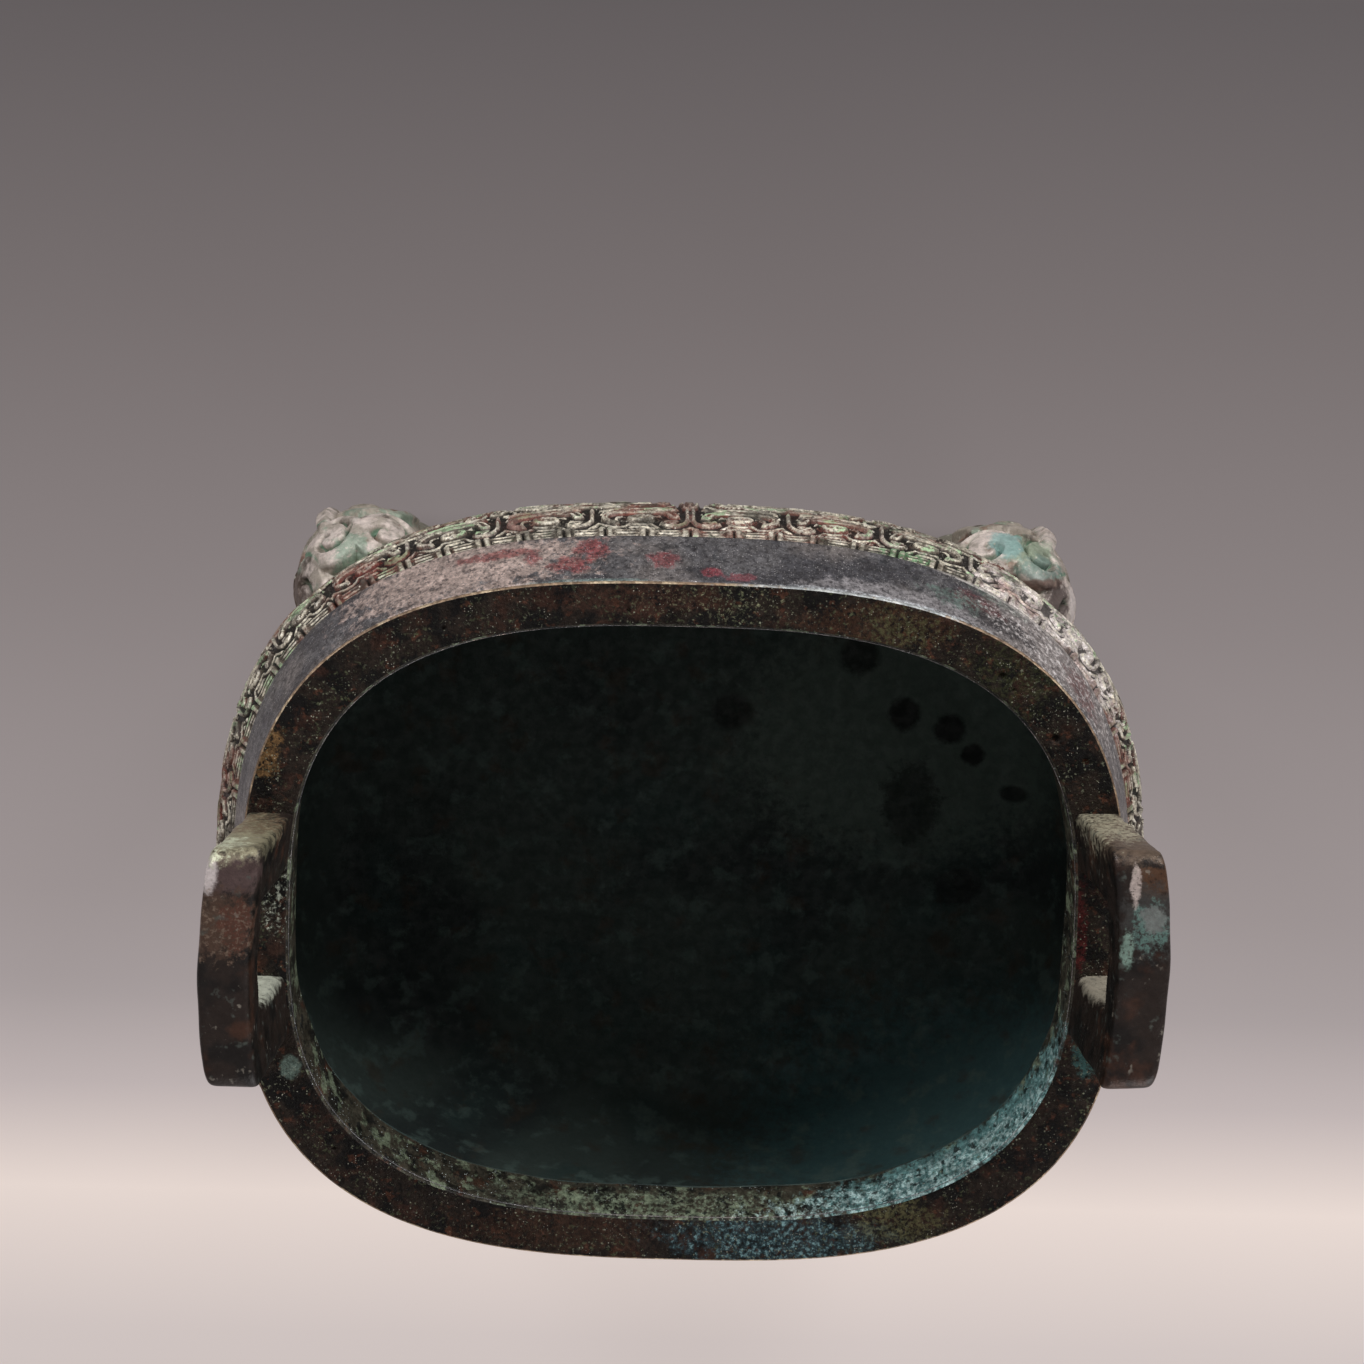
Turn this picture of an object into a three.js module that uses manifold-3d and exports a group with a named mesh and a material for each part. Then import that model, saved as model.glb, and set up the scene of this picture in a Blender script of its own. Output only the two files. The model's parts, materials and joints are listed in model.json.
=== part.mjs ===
// A square bronze incense burner: a rounded-square bowl with a flat lip, two loop ears and four masked legs.
// Millimetres, +Z up. It stands on its soles at z = 0, with X along the mouth's long side.
import * as THREE from "three";
import { mergeVertices } from "three/addons/utils/BufferGeometryUtils.js";
import Module from "manifold-3d";

const wasm = await Module();
wasm.setup();

// Bowl, outside
const MOUTH_LENGTH = 170;
const MOUTH_WIDTH = 133;
const MOUTH_SQUARENESS = 2.87; // exponent of the rounded-square outline: 2 is an ellipse
const BELLY_SQUARENESS = 2.7;
const BOWL_CLEARANCE = 65; // from the floor to the bowl's underside
const BOWL_DEPTH = 92; // from the lip's face to the bowl's underside
const NECK_DEPTH = 28; // the plain band under the lip
const NECK_END_FLARE = 3.2; // how far the band's lower edge stands outside the lip, at the ends
const NECK_SIDE_FLARE = 4.8; // the same on the long sides
const BELLY_DEPTH = 47; // where the belly is widest
const BELLY_BULGE = 7.9;
const BASE_INSET = 21.3; // how far the flat underside lies inside the widest level

// Relief on the belly, in mm across from a side's middle or a scroll's and down from the top of its zone
const RELIEF_DEPTH = 0.8; // of the ground under the raised bands
const RELIEF_ROOT = 1.6; // how deep a band's foot lies under its top
const RELIEF_STEP = 0.6; // height of the slope from the neck's border to the ground
const RELIEF_LENGTH = 55.2; // down the skin, from the neck's border to the plain foot
const SCROLL_TOP = 5.6;
const SCROLL_PITCH = 17.5;
const SCROLL_BAND = { knots: [[-5.9, 6.6], [-4.4, 9.4], [3.4, 9.3], [6.6, 6.6], [4.6, 2.6]], start: 1.2, end: 0.8 };
const MASK_ZONE_TOP = 20;
const MASK_ZONE_HALF = 62; // the mask's own half length, which is stretched to fit each side
const MASK_ZONE_CORNER = 6; // left plain at each end of a side
const NOSE_BAND = { knots: [[0, 1.2], [0, 25.4]], start: 1.5, end: 2.3 };
const MASK_BANDS = [
  {
    knots: [[4.6, 10], [6, 5.4], [11, 2.6], [26.5, 3], [30.6, 7], [29.4, 11.4], [25.4, 12], [24, 9.2]],
    start: 1.5,
    end: 1,
  },
  { knots: [[10.6, 25.2], [15.6, 27], [22, 26.6], [26.8, 23], [26, 18.2], [22.4, 17]], start: 1.4, end: 0.9 },
  {
    knots: [[34.6, 2], [35.4, 12.6], [40, 16.2], [47, 16.4], [54.4, 14], [58.6, 9], [56, 4], [50, 2.8], [46, 6]],
    start: 1.5,
    end: 1,
  },
  { knots: [[31, 14.6], [31.4, 19.4], [36, 21.2], [52, 20.6], [57.6, 22.6], [57, 26.6]], start: 1.1, end: 0.9 },
];
const BOSS = { across: 13, down: 14.6, halfAcross: 4.6, halfDown: 3.1, crown: 0.6 }; // the mask's eye

// Bowl, inside
const LIP_END_WALL = 9.5;
const LIP_SIDE_WALL = 8.5;
const INNER_NECK_DEPTH = 22; // the upright stretch of wall under the lip
const BELLY_WALL = 7;
const FLOOR_WALL = 7;

// Ears
const EAR_HEIGHT = 40;
const EAR_ROOT_WIDTH = 44;
const EAR_TOP_WIDTH = 45.6;
const EAR_LOOP_WIDTH = 20;
const EAR_LOOP_HEIGHT = 28;
const EAR_ROOT_THICKNESS = 8.6;
const EAR_TOP_THICKNESS = 10;
const EAR_LEAN = 4.2; // outward, from root to top
const EAR_BOW = 2; // how far the ear's middle stands outside its ends
const EAR_CORNER = 3.4;
const EAR_LOOP_CORNER = 3;
const EAR_EDGE = 1.4; // rounding of the long edges
const EAR_DRIFT = 2; // each ear stands this far off the middle, to opposite sides
const TENON_THICKNESS = 5;
const TENON_WIDTH = 7;
const TENON_DEPTH = 8;
const TENON_ROOT = 3; // how far the tenon runs up inside the ear's leg

// Legs
const LEG_END_INSET = 33; // from the belly's widest end to the leg's axis, along X
const LEG_SIDE_INSET = 29.4; // the same along Y
const SOLE_RADIUS = 9.2;
const SOLE_EDGE = 4;
const WAIST_RADIUS = 8.2;
const WAIST_HEIGHT = 11;
const BAND_RADIUS = 9.3;
const BAND_HEIGHT = 2.6;
const BAND_CHAMFER = 0.7;
const BAND_COUNT = 2;
const BAND_PITCH = 4.2;
const BAND_START = 27; // height of the lowest band's foot
const MASK_DROP = 25; // from the bowl's underside down to the mask's chin
const MASK_RISE = 22; // from the bowl's underside up to the mask's crown
const MASK_RADIUS = 14;
const MASK_SHIFT = 7.4; // the mask's middle stands this far outside the leg's axis
const LEG_BORE_RADIUS = 5.4;
const SOLE_WALL = 8;

// Mask features
const SNOUT_RADIUS = 5;
const SNOUT_SINK = 2.5; // how far its middle lies inside the mask's round
const SNOUT_SHARE = 0.24; // how high it sits, as a share of the mask's height
const NOSE_WIDTH = 3.4;
const NOSE_RISE = 2.8;
const NOSE_SHARE = 0.7;
const EYE_RADIUS = 2.6;
const EYE_SHARE = 0.5;
const EYE_ANGLE = 0.5;
const CURL_RADIUS = 5.2;
const CURL_THICKNESS = 2.4;
const CURL_SHARE = 0.86;
const CURL_TILT = Math.PI / 4; // from facing up to facing outward
const BROW_REACH = 11.8; // from the mask's middle to the middle of the curl over its nose
const HORN_REACH = 10.4; // the same for the curl on each side
const HORN_ANGLE = 0.91;

const FIT_GAP = 0.3;
const PEG_LENGTH = 11; // of the bowl's peg inside each leg, below the belly's skin
const PEG_ROOT = 4; // how far the peg runs up into the belly's wall

// Fineness of the curves
const BOWL_SEGMENTS = 64;
const BOWL_STEPS = 6;
const NECK_STEPS = 2;
const LEG_SEGMENTS = 24;
const HEAD_STEPS = 5;
const FEATURE_SEGMENTS = 10;
const ARC_STEPS = 4;
const EAR_STEP = 2.6;
const BOSS_SEGMENTS = 8;

const BELLY_HALF_LENGTH = MOUTH_LENGTH / 2 + BELLY_BULGE;
const BELLY_HALF_WIDTH = MOUTH_WIDTH / 2 + BELLY_BULGE;
const LIP_HEIGHT = BOWL_CLEARANCE + BOWL_DEPTH;
const LEG_X = BELLY_HALF_LENGTH - LEG_END_INSET;
const LEG_Y = BELLY_HALF_WIDTH - LEG_SIDE_INSET;
const MASK_FOOT = BOWL_CLEARANCE - MASK_DROP;
const MASK_TOP = BOWL_CLEARANCE + MASK_RISE;

const BRONZE = new THREE.MeshStandardMaterial({ color: 0x4a3a30, roughness: 0.55, metalness: 0.75 });
const EAR_BRONZE = new THREE.MeshStandardMaterial({ color: 0x3c2a22, roughness: 0.5, metalness: 0.75 });
const LEG_BRONZE = new THREE.MeshStandardMaterial({ color: 0x5b6a5c, roughness: 0.6, metalness: 0.6 });
const FIRED_CLAY = new THREE.MeshStandardMaterial({ color: 0x8f6a4e, roughness: 0.95, metalness: 0 });

const { lerp } = THREE.MathUtils;

// Solids

function solidOf(geometry) {
  const bare = geometry.clone();
  bare.deleteAttribute("normal");
  bare.deleteAttribute("uv");
  const merged = mergeVertices(bare);
  const vertProperties = new Float32Array(merged.getAttribute("position").array);
  const triVerts = new Uint32Array(merged.index.array);
  return new wasm.Manifold(new wasm.Mesh({ numProp: 3, vertProperties, triVerts }));
}

function geometryOf(solid) {
  const { numProp, vertProperties, triVerts } = solid.getMesh();
  const geometry = new THREE.BufferGeometry();
  geometry.setAttribute("position", new THREE.BufferAttribute(vertProperties, numProp));
  geometry.setIndex(new THREE.BufferAttribute(triVerts, 1));
  const flat = geometry.toNonIndexed();
  flat.computeVertexNormals();
  return flat;
}

function joined(geometries) {
  return geometries.map(solidOf).reduce((all, one) => all.add(one));
}

function meshOf(name, geometry, material) {
  const mesh = new THREE.Mesh(geometry, material);
  mesh.name = name;
  return mesh;
}

// Bowl

const ring = (halfLength, halfWidth, height) => ({ halfLength, halfWidth, height });

const steps = (count) => Array.from({ length: count }, (_, i) => (i + 1) / count);

// The outline's exponent at a height: it eases from the mouth's to the belly's.
function squareness(height) {
  const down = THREE.MathUtils.clamp((LIP_HEIGHT - height) / BELLY_DEPTH, 0, 1);
  return lerp(MOUTH_SQUARENESS, BELLY_SQUARENESS, down);
}

function onRing({ halfLength, halfWidth, height }, turn) {
  const power = 2 / squareness(height);
  const rounded = (value) => Math.sign(value) * Math.abs(value) ** power;
  return new THREE.Vector3(halfLength * rounded(Math.cos(turn)), halfWidth * rounded(Math.sin(turn)), height);
}

// A turned shape whose rings are rounded squares in place of circles.
function squareLathe(rings) {
  const profile = rings.map(({ halfLength, height }) => new THREE.Vector2(halfLength, height));
  const geometry = new THREE.LatheGeometry(profile, BOWL_SEGMENTS);
  const position = geometry.getAttribute("position");
  for (let i = 0; i < position.count; i++) {
    const turn = (2 * Math.PI * Math.floor(i / rings.length)) / BOWL_SEGMENTS;
    position.setXYZ(i, ...onRing(rings[i % rings.length], turn));
  }
  return geometry;
}

// The outer wall's ring at a depth under the lip, moved out by extra: an even flare down the neck, a quarter
// sine to the widest level, then a quarter ellipse to the underside.
function wallRing(depth, extra) {
  const neck = Math.min(depth / NECK_DEPTH, 1);
  const rise = THREE.MathUtils.clamp((depth - NECK_DEPTH) / (BELLY_DEPTH - NECK_DEPTH), 0, 1);
  const fall = THREE.MathUtils.clamp((depth - BELLY_DEPTH) / (BOWL_DEPTH - BELLY_DEPTH), 0, 1);
  const swell = Math.sin((Math.PI / 2) * rise);
  const inset = BASE_INSET * (1 - Math.sqrt(1 - fall * fall));
  const ends = lerp(NECK_END_FLARE * neck, BELLY_BULGE, swell) - inset + extra;
  const sides = lerp(NECK_SIDE_FLARE * neck, BELLY_BULGE, swell) - inset + extra;
  const height = LIP_HEIGHT - depth - (fall < 1 ? 0 : Math.max(extra, 0));
  return ring(MOUTH_LENGTH / 2 + ends, MOUTH_WIDTH / 2 + sides, height);
}

const NECK_DEPTHS = [0, ...steps(NECK_STEPS).map((t) => NECK_DEPTH * t)];
const BELLY_DEPTHS = steps(BOWL_STEPS).map((t) => lerp(NECK_DEPTH, BELLY_DEPTH, t));
const FOOT_DEPTHS = steps(BOWL_STEPS).map((t) => lerp(BELLY_DEPTH, BOWL_DEPTH, Math.sin((Math.PI / 2) * t)));

// The outer wall from the lip down to the flat underside, each ring moved out by extra.
function outerRings(extra) {
  return [...NECK_DEPTHS, ...BELLY_DEPTHS, ...FOOT_DEPTHS].map((depth) => wallRing(depth, extra));
}

// The same wall with the relief's ground sunk into the belly.
function carvedRings() {
  const end = depthAt(RELIEF_LENGTH);
  const ground = [NECK_DEPTH + RELIEF_STEP, ...BELLY_DEPTHS, ...FOOT_DEPTHS.filter((depth) => depth < end), end];
  const plain = [end + RELIEF_STEP, ...FOOT_DEPTHS.filter((depth) => depth > end + RELIEF_STEP)];
  return [
    ...NECK_DEPTHS.map((depth) => wallRing(depth, 0)),
    ...ground.map((depth) => wallRing(depth, -RELIEF_DEPTH)),
    ...plain.map((depth) => wallRing(depth, 0)),
  ];
}

// The inner wall from the lip's inner edge down to the bowl's floor.
function innerRings() {
  const lip = ring(MOUTH_LENGTH / 2 - LIP_END_WALL, MOUTH_WIDTH / 2 - LIP_SIDE_WALL, LIP_HEIGHT);
  const rings = [lip, { ...lip, height: LIP_HEIGHT - INNER_NECK_DEPTH }];
  const wideLength = BELLY_HALF_LENGTH - BELLY_WALL;
  const wideWidth = BELLY_HALF_WIDTH - BELLY_WALL;
  for (const t of steps(BOWL_STEPS)) {
    const ease = (1 - Math.cos(Math.PI * t)) / 2;
    const depth = lerp(INNER_NECK_DEPTH, BELLY_DEPTH, t);
    rings.push(
      ring(lerp(lip.halfLength, wideLength, ease), lerp(lip.halfWidth, wideWidth, ease), LIP_HEIGHT - depth),
    );
  }
  for (const t of steps(BOWL_STEPS)) {
    const inset = BASE_INSET * (1 - Math.cos((Math.PI / 2) * t));
    const depth = lerp(BELLY_DEPTH, BOWL_DEPTH - FLOOR_WALL, Math.sin((Math.PI / 2) * t));
    rings.push(ring(wideLength - inset, wideWidth - inset, LIP_HEIGHT - depth));
  }
  return rings;
}

function bowlGeometry() {
  const outside = carvedRings().reverse();
  const inside = innerRings();
  const underside = ring(0, 0, BOWL_CLEARANCE);
  const floor = ring(0, 0, BOWL_CLEARANCE + FLOOR_WALL);
  return squareLathe([underside, ...outside, ...inside, floor]);
}

// The bowl's outside as a full block with the fit gap around it, to cut the legs with.
function bowlBlock() {
  const outside = outerRings(FIT_GAP).reverse();
  const underside = ring(0, 0, BOWL_CLEARANCE - FIT_GAP);
  const lid = ring(0, 0, LIP_HEIGHT);
  return solidOf(squareLathe([underside, ...outside, lid]));
}

function upright(radius, low, high, segments) {
  const geometry = new THREE.CylinderGeometry(radius, radius, high - low, segments);
  return geometry.rotateX(Math.PI / 2).translate(0, 0, (low + high) / 2);
}

// How high the belly's skin lies over a point near a corner, from the rings on either side of it.
function skinHeight(x, y) {
  const rings = outerRings(0);
  const reach = ({ halfLength, halfWidth, height }) => {
    const power = squareness(height);
    return (Math.abs(x) / halfLength) ** power + (Math.abs(y) / halfWidth) ** power;
  };
  const inner = rings.findLast((one) => reach(one) <= 1);
  return inner ? inner.height : BOWL_CLEARANCE;
}

const PEG_TIP = skinHeight(LEG_X, LEG_Y) - PEG_LENGTH;

// Relief

// A curve of [x, y, z] points over 0 to 1 that can be walked by length.
class WalkedCurve extends THREE.Curve {
  constructor(pointAt) {
    super();
    this.pointAt = pointAt;
  }

  getPoint(t) {
    return this.pointAt(t);
  }

  shareAt(length) {
    return this.getUtoTmapping(0, length);
  }
}

const SKIN_PROFILE = new WalkedCurve((t) => {
  const { halfWidth, height } = wallRing(lerp(NECK_DEPTH, BOWL_DEPTH, t), 0);
  return new THREE.Vector3(0, halfWidth, height);
});

// How deep under the lip a place lies that is so far down the skin from the neck's border.
function depthAt(down) {
  return lerp(NECK_DEPTH, BOWL_DEPTH, SKIN_PROFILE.shareAt(down));
}

// The widest outline's stretch on each side, from corner to corner; the sides face +X, +Y, -X and -Y.
const SIDES = [0, 1, 2, 3].map((side) => {
  const turnAt = (t) => (Math.PI / 2) * (side - 1 / 2 + t);
  const curve = new WalkedCurve((t) => onRing(wallRing(BELLY_DEPTH, 0), turnAt(t)));
  return { curve, turnAt, half: curve.getLength() / 2 };
});

function skinPoint({ curve, turnAt, half }, across, down, lift) {
  return onRing(wallRing(depthAt(down), lift), turnAt(curve.shareAt(half + across)));
}

// Moves each point of a geometry to the place that carry gives for it.
function carried(geometry, carry) {
  const position = geometry.getAttribute("position");
  const point = new THREE.Vector3();
  for (let i = 0; i < position.count; i++) {
    position.setXYZ(i, ...carry(point.fromBufferAttribute(position, i)));
  }
  return geometry;
}

// A raised band that runs through the knots; place gives a knot's [across, down] on the side.
function bandGeometry(side, { knots, start, end }, place) {
  const line = knots.map((knot) => new THREE.Vector2(...place(...knot)));
  const count = line.length - 1;
  return carried(new THREE.BoxGeometry(2, RELIEF_ROOT, count, 1, 1, count), ({ x, y, z }) => {
    const i = Math.round(z + count / 2);
    const along = line[Math.min(i + 1, count)].clone().sub(line[Math.max(i - 1, 0)]).normalize();
    const reach = x * lerp(start, end, i / count);
    return skinPoint(side, line[i].x + reach * along.y, line[i].y - reach * along.x, y - RELIEF_ROOT / 2);
  });
}

// The mask's eye: a low boss with sloping sides.
function bossGeometry(side, place) {
  const boss = new THREE.CylinderGeometry(BOSS.crown, 1, RELIEF_ROOT, BOSS_SEGMENTS);
  const [across, down] = place(BOSS.across, BOSS.down);
  const halfAcross = Math.abs(place(BOSS.across + BOSS.halfAcross, 0)[0] - across);
  return carried(boss, ({ x, y, z }) =>
    skinPoint(side, across + x * halfAcross, down + z * BOSS.halfDown, y - RELIEF_ROOT / 2),
  );
}

// The band of scrolls on one half of a side; hand is 1 or -1.
function scrollBands(side, hand) {
  const count = Math.round(side.half / SCROLL_PITCH);
  const stretch = side.half / count / SCROLL_PITCH;
  return Array.from({ length: count }, (_, i) => {
    const place = (across, down) => [hand * ((i + 1 / 2) * SCROLL_PITCH + across) * stretch, down + SCROLL_TOP];
    return bandGeometry(side, SCROLL_BAND, place);
  });
}

function reliefGeometries() {
  return SIDES.flatMap((side) => {
    const stretch = (side.half - MASK_ZONE_CORNER) / MASK_ZONE_HALF;
    const halves = [-1, 1].flatMap((hand) => {
      const place = (across, down) => [hand * across * stretch, down + MASK_ZONE_TOP];
      const bands = MASK_BANDS.map((band) => bandGeometry(side, band, place));
      return [...bands, bossGeometry(side, place), ...scrollBands(side, hand)];
    });
    return [bandGeometry(side, NOSE_BAND, (across, down) => [across, down + MASK_ZONE_TOP]), ...halves];
  });
}

// Ears

// Points along a closed outline of corners [across, up, radius], with none further apart than EAR_STEP.
function outline(corners) {
  const points = [];
  corners.forEach(([across, up, radius], i) => {
    const corner = new THREE.Vector2(across, up);
    const before = new THREE.Vector2(...corners.at(i - 1)).sub(corner).normalize();
    const after = new THREE.Vector2(...corners[(i + 1) % corners.length]).sub(corner).normalize();
    const start = corner.clone().addScaledVector(before, radius);
    const end = corner.clone().addScaledVector(after, radius);
    const arc = new THREE.QuadraticBezierCurve(start, corner, end);
    if (points.length) points.push(...between(points.at(-1), start));
    points.push(...(radius ? arc.getPoints(ARC_STEPS) : [corner]));
  });
  return [...points, ...between(points.at(-1), points[0])];
}

function between(from, to) {
  const count = Math.ceil(from.distanceTo(to) / EAR_STEP);
  return steps(count).slice(0, -1).map((t) => from.clone().lerp(to, t));
}

// The ear's face: two legs and a crossbar round a loop that is open down to the lip.
function earShape() {
  const root = EAR_ROOT_WIDTH / 2;
  const top = EAR_TOP_WIDTH / 2;
  const loop = EAR_LOOP_WIDTH / 2;
  const side = (sign) => [
    [sign * loop, FIT_GAP, 0],
    [sign * root, FIT_GAP, 0],
    [sign * top, EAR_HEIGHT, EAR_CORNER],
  ];
  const inner = (sign) => [sign * loop, EAR_LOOP_HEIGHT, EAR_LOOP_CORNER];
  return new THREE.Shape(outline([...side(1), ...side(-1).reverse(), inner(-1), inner(1)]));
}

// Where the ear's middle surface stands at a place across and up it.
function earMiddle(across, up) {
  const out = MOUTH_LENGTH / 2 - LIP_END_WALL / 2;
  const lean = EAR_LEAN * (up / EAR_HEIGHT);
  const bow = EAR_BOW * (1 / 2 - (2 * across / EAR_ROOT_WIDTH) ** 2);
  return out + lean + bow;
}

// Each point of the flat plate is carried to its place on the leaning, bowed ear.
function bentEar() {
  const plate = new THREE.ExtrudeGeometry(earShape(), {
    depth: 1 - 2 * (EAR_EDGE / EAR_ROOT_THICKNESS),
    bevelThickness: EAR_EDGE / EAR_ROOT_THICKNESS,
    bevelSize: EAR_EDGE,
    bevelOffset: -EAR_EDGE,
    bevelSegments: 2,
  });
  plate.computeBoundingBox();
  const middle = plate.boundingBox.getCenter(new THREE.Vector3()).z;
  const position = plate.getAttribute("position");
  for (let i = 0; i < position.count; i++) {
    const across = position.getX(i);
    const up = position.getY(i);
    const thickness = lerp(EAR_ROOT_THICKNESS, EAR_TOP_THICKNESS, up / EAR_HEIGHT);
    const x = earMiddle(across, up) + (position.getZ(i) - middle) * thickness;
    position.setXYZ(i, x, across + EAR_DRIFT, up + LIP_HEIGHT);
  }
  return plate;
}

// A tenon under each of the ear's legs, or the pocket for it when gap is the fit gap.
function tenons(gap) {
  const across = (EAR_ROOT_WIDTH + EAR_LOOP_WIDTH) / 4;
  const height = TENON_DEPTH + gap + TENON_ROOT;
  return [across, -across].map((place) => {
    const box = new THREE.BoxGeometry(TENON_THICKNESS + 2 * gap, TENON_WIDTH + 2 * gap, height);
    const z = LIP_HEIGHT + (TENON_ROOT - TENON_DEPTH - gap) / 2;
    return box.translate(earMiddle(place, 0), place + EAR_DRIFT, z);
  });
}

// Legs, in a frame whose +X points straight out of the bowl's corner and whose origin is on the floor

function columnProfile() {
  const points = [
    [0, 0],
    [SOLE_RADIUS, 0],
    [SOLE_RADIUS, SOLE_EDGE],
    [WAIST_RADIUS, WAIST_HEIGHT],
  ];
  for (let i = 0; i < BAND_COUNT; i++) {
    const low = BAND_START + i * BAND_PITCH;
    const high = low + BAND_HEIGHT;
    points.push([WAIST_RADIUS, low], [BAND_RADIUS, low + BAND_CHAMFER]);
    points.push([BAND_RADIUS, high - BAND_CHAMFER], [WAIST_RADIUS, high]);
  }
  points.push([WAIST_RADIUS, MASK_TOP - MASK_RADIUS], [0, MASK_TOP - MASK_RADIUS]);
  return points.map(([radius, height]) => new THREE.Vector2(radius, height));
}

// The mask's head: it swells from the chin and closes over the crown.
function headProfile() {
  const middle = (MASK_FOOT + MASK_TOP) / 2;
  const points = [new THREE.Vector2(0, MASK_FOOT), new THREE.Vector2(WAIST_RADIUS, MASK_FOOT)];
  for (const t of steps(HEAD_STEPS)) {
    const swell = Math.sin((Math.PI / 2) * t);
    points.push(new THREE.Vector2(lerp(WAIST_RADIUS, MASK_RADIUS, swell), lerp(MASK_FOOT, middle, t)));
  }
  for (const t of steps(HEAD_STEPS)) {
    const angle = (Math.PI / 2) * t;
    const radius = MASK_RADIUS * Math.sqrt(Math.max(0, Math.cos(angle)));
    points.push(new THREE.Vector2(t < 1 ? radius : 0, lerp(middle, MASK_TOP, Math.sin(angle))));
  }
  return points;
}

function turned(profile) {
  return new THREE.LatheGeometry(profile, LEG_SEGMENTS).rotateX(Math.PI / 2);
}

function onMask(geometry, angle, share, reach = MASK_RADIUS) {
  const height = lerp(MASK_FOOT, MASK_TOP, share);
  return geometry.translate(reach, 0, 0).rotateZ(angle).translate(MASK_SHIFT, 0, height);
}

function curl(angle, reach) {
  const ring = new THREE.TorusGeometry(CURL_RADIUS, CURL_THICKNESS, FEATURE_SEGMENTS / 2, FEATURE_SEGMENTS);
  return onMask(ring.rotateY(CURL_TILT), angle, CURL_SHARE, reach);
}

function maskFeatures() {
  const snout = new THREE.SphereGeometry(SNOUT_RADIUS, FEATURE_SEGMENTS, FEATURE_SEGMENTS);
  const noseHeight = (MASK_TOP - MASK_FOOT) * (NOSE_SHARE - SNOUT_SHARE);
  const nose = new THREE.BoxGeometry(2 * NOSE_RISE, NOSE_WIDTH, noseHeight);
  const features = [
    onMask(snout.translate(-SNOUT_SINK, 0, 0), 0, SNOUT_SHARE),
    onMask(nose, 0, (NOSE_SHARE + SNOUT_SHARE) / 2),
    curl(0, BROW_REACH),
  ];
  for (const side of [-1, 1]) {
    const eye = new THREE.SphereGeometry(EYE_RADIUS, FEATURE_SEGMENTS, FEATURE_SEGMENTS / 2);
    features.push(onMask(eye, side * EYE_ANGLE, EYE_SHARE), curl(side * HORN_ANGLE, HORN_REACH));
  }
  return features;
}

function plainLeg() {
  const head = turned(headProfile()).translate(MASK_SHIFT, 0, 0);
  const bore = solidOf(upright(LEG_BORE_RADIUS, SOLE_WALL, MASK_TOP, LEG_SEGMENTS));
  return geometryOf(joined([turned(columnProfile()), head, ...maskFeatures()]).subtract(bore));
}

// A leg fitted to the belly: it is cut where it stands, then taken back to its own frame.
function fittedLeg(leg, place, block) {
  const solid = solidOf(leg.clone().applyMatrix4(place)).subtract(block);
  const largest = solid.decompose().sort((a, b) => b.volume() - a.volume())[0];
  return geometryOf(largest).applyMatrix4(place.clone().invert());
}

const CORNERS = [
  ["front_left", -1, -1],
  ["front_right", 1, -1],
  ["back_left", -1, 1],
  ["back_right", 1, 1],
];

const burner = new THREE.Group();

const pegs = CORNERS.map(([, x, y]) =>
  upright(LEG_BORE_RADIUS - FIT_GAP, PEG_TIP, PEG_TIP + PEG_LENGTH + PEG_ROOT, LEG_SEGMENTS)
    .translate(x * LEG_X, y * LEG_Y, 0),
);
const pockets = tenons(FIT_GAP);
const sockets = [...pockets, ...pockets.map((pocket) => pocket.clone().rotateZ(Math.PI))];
const bowl = joined([bowlGeometry(), ...pegs, ...reliefGeometries()]).subtract(joined(sockets));
burner.add(meshOf("vessel_body", geometryOf(bowl), BRONZE));

const ear = geometryOf(joined([bentEar(), ...tenons(0)]));
const rightEar = meshOf("right_ear", ear, EAR_BRONZE);
const leftEar = meshOf("left_ear", ear, EAR_BRONZE);
leftEar.rotation.z = Math.PI;
burner.add(rightEar, leftEar);

const leg = plainLeg();
const block = bowlBlock();
const core = upright(LEG_BORE_RADIUS - FIT_GAP, SOLE_WALL + FIT_GAP, PEG_TIP - FIT_GAP, LEG_SEGMENTS);
for (const [name, x, y] of CORNERS) {
  const stand = new THREE.Group();
  stand.position.set(x * LEG_X, y * LEG_Y, 0);
  stand.rotation.z = Math.atan2(y * MOUTH_LENGTH, x * MOUTH_WIDTH);
  stand.updateMatrix();
  stand.add(meshOf(name + "_leg", fittedLeg(leg, stand.matrix, block), LEG_BRONZE));
  stand.add(meshOf(name + "_leg_core", core, FIRED_CLAY));
  burner.add(stand);
}

export default burner;
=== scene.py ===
"""A square bronze incense burner: a relief bowl with a flat lip, two loop ears and four masked legs.

Sizes are in millimetres until a mesh is made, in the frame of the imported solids: +Z up, X along the mouth.
"""

import json
import logging
import math
from dataclasses import dataclass, field
from enum import Enum
from functools import cached_property

import bpy
import numpy as np
from mathutils import Matrix, Vector

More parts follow.
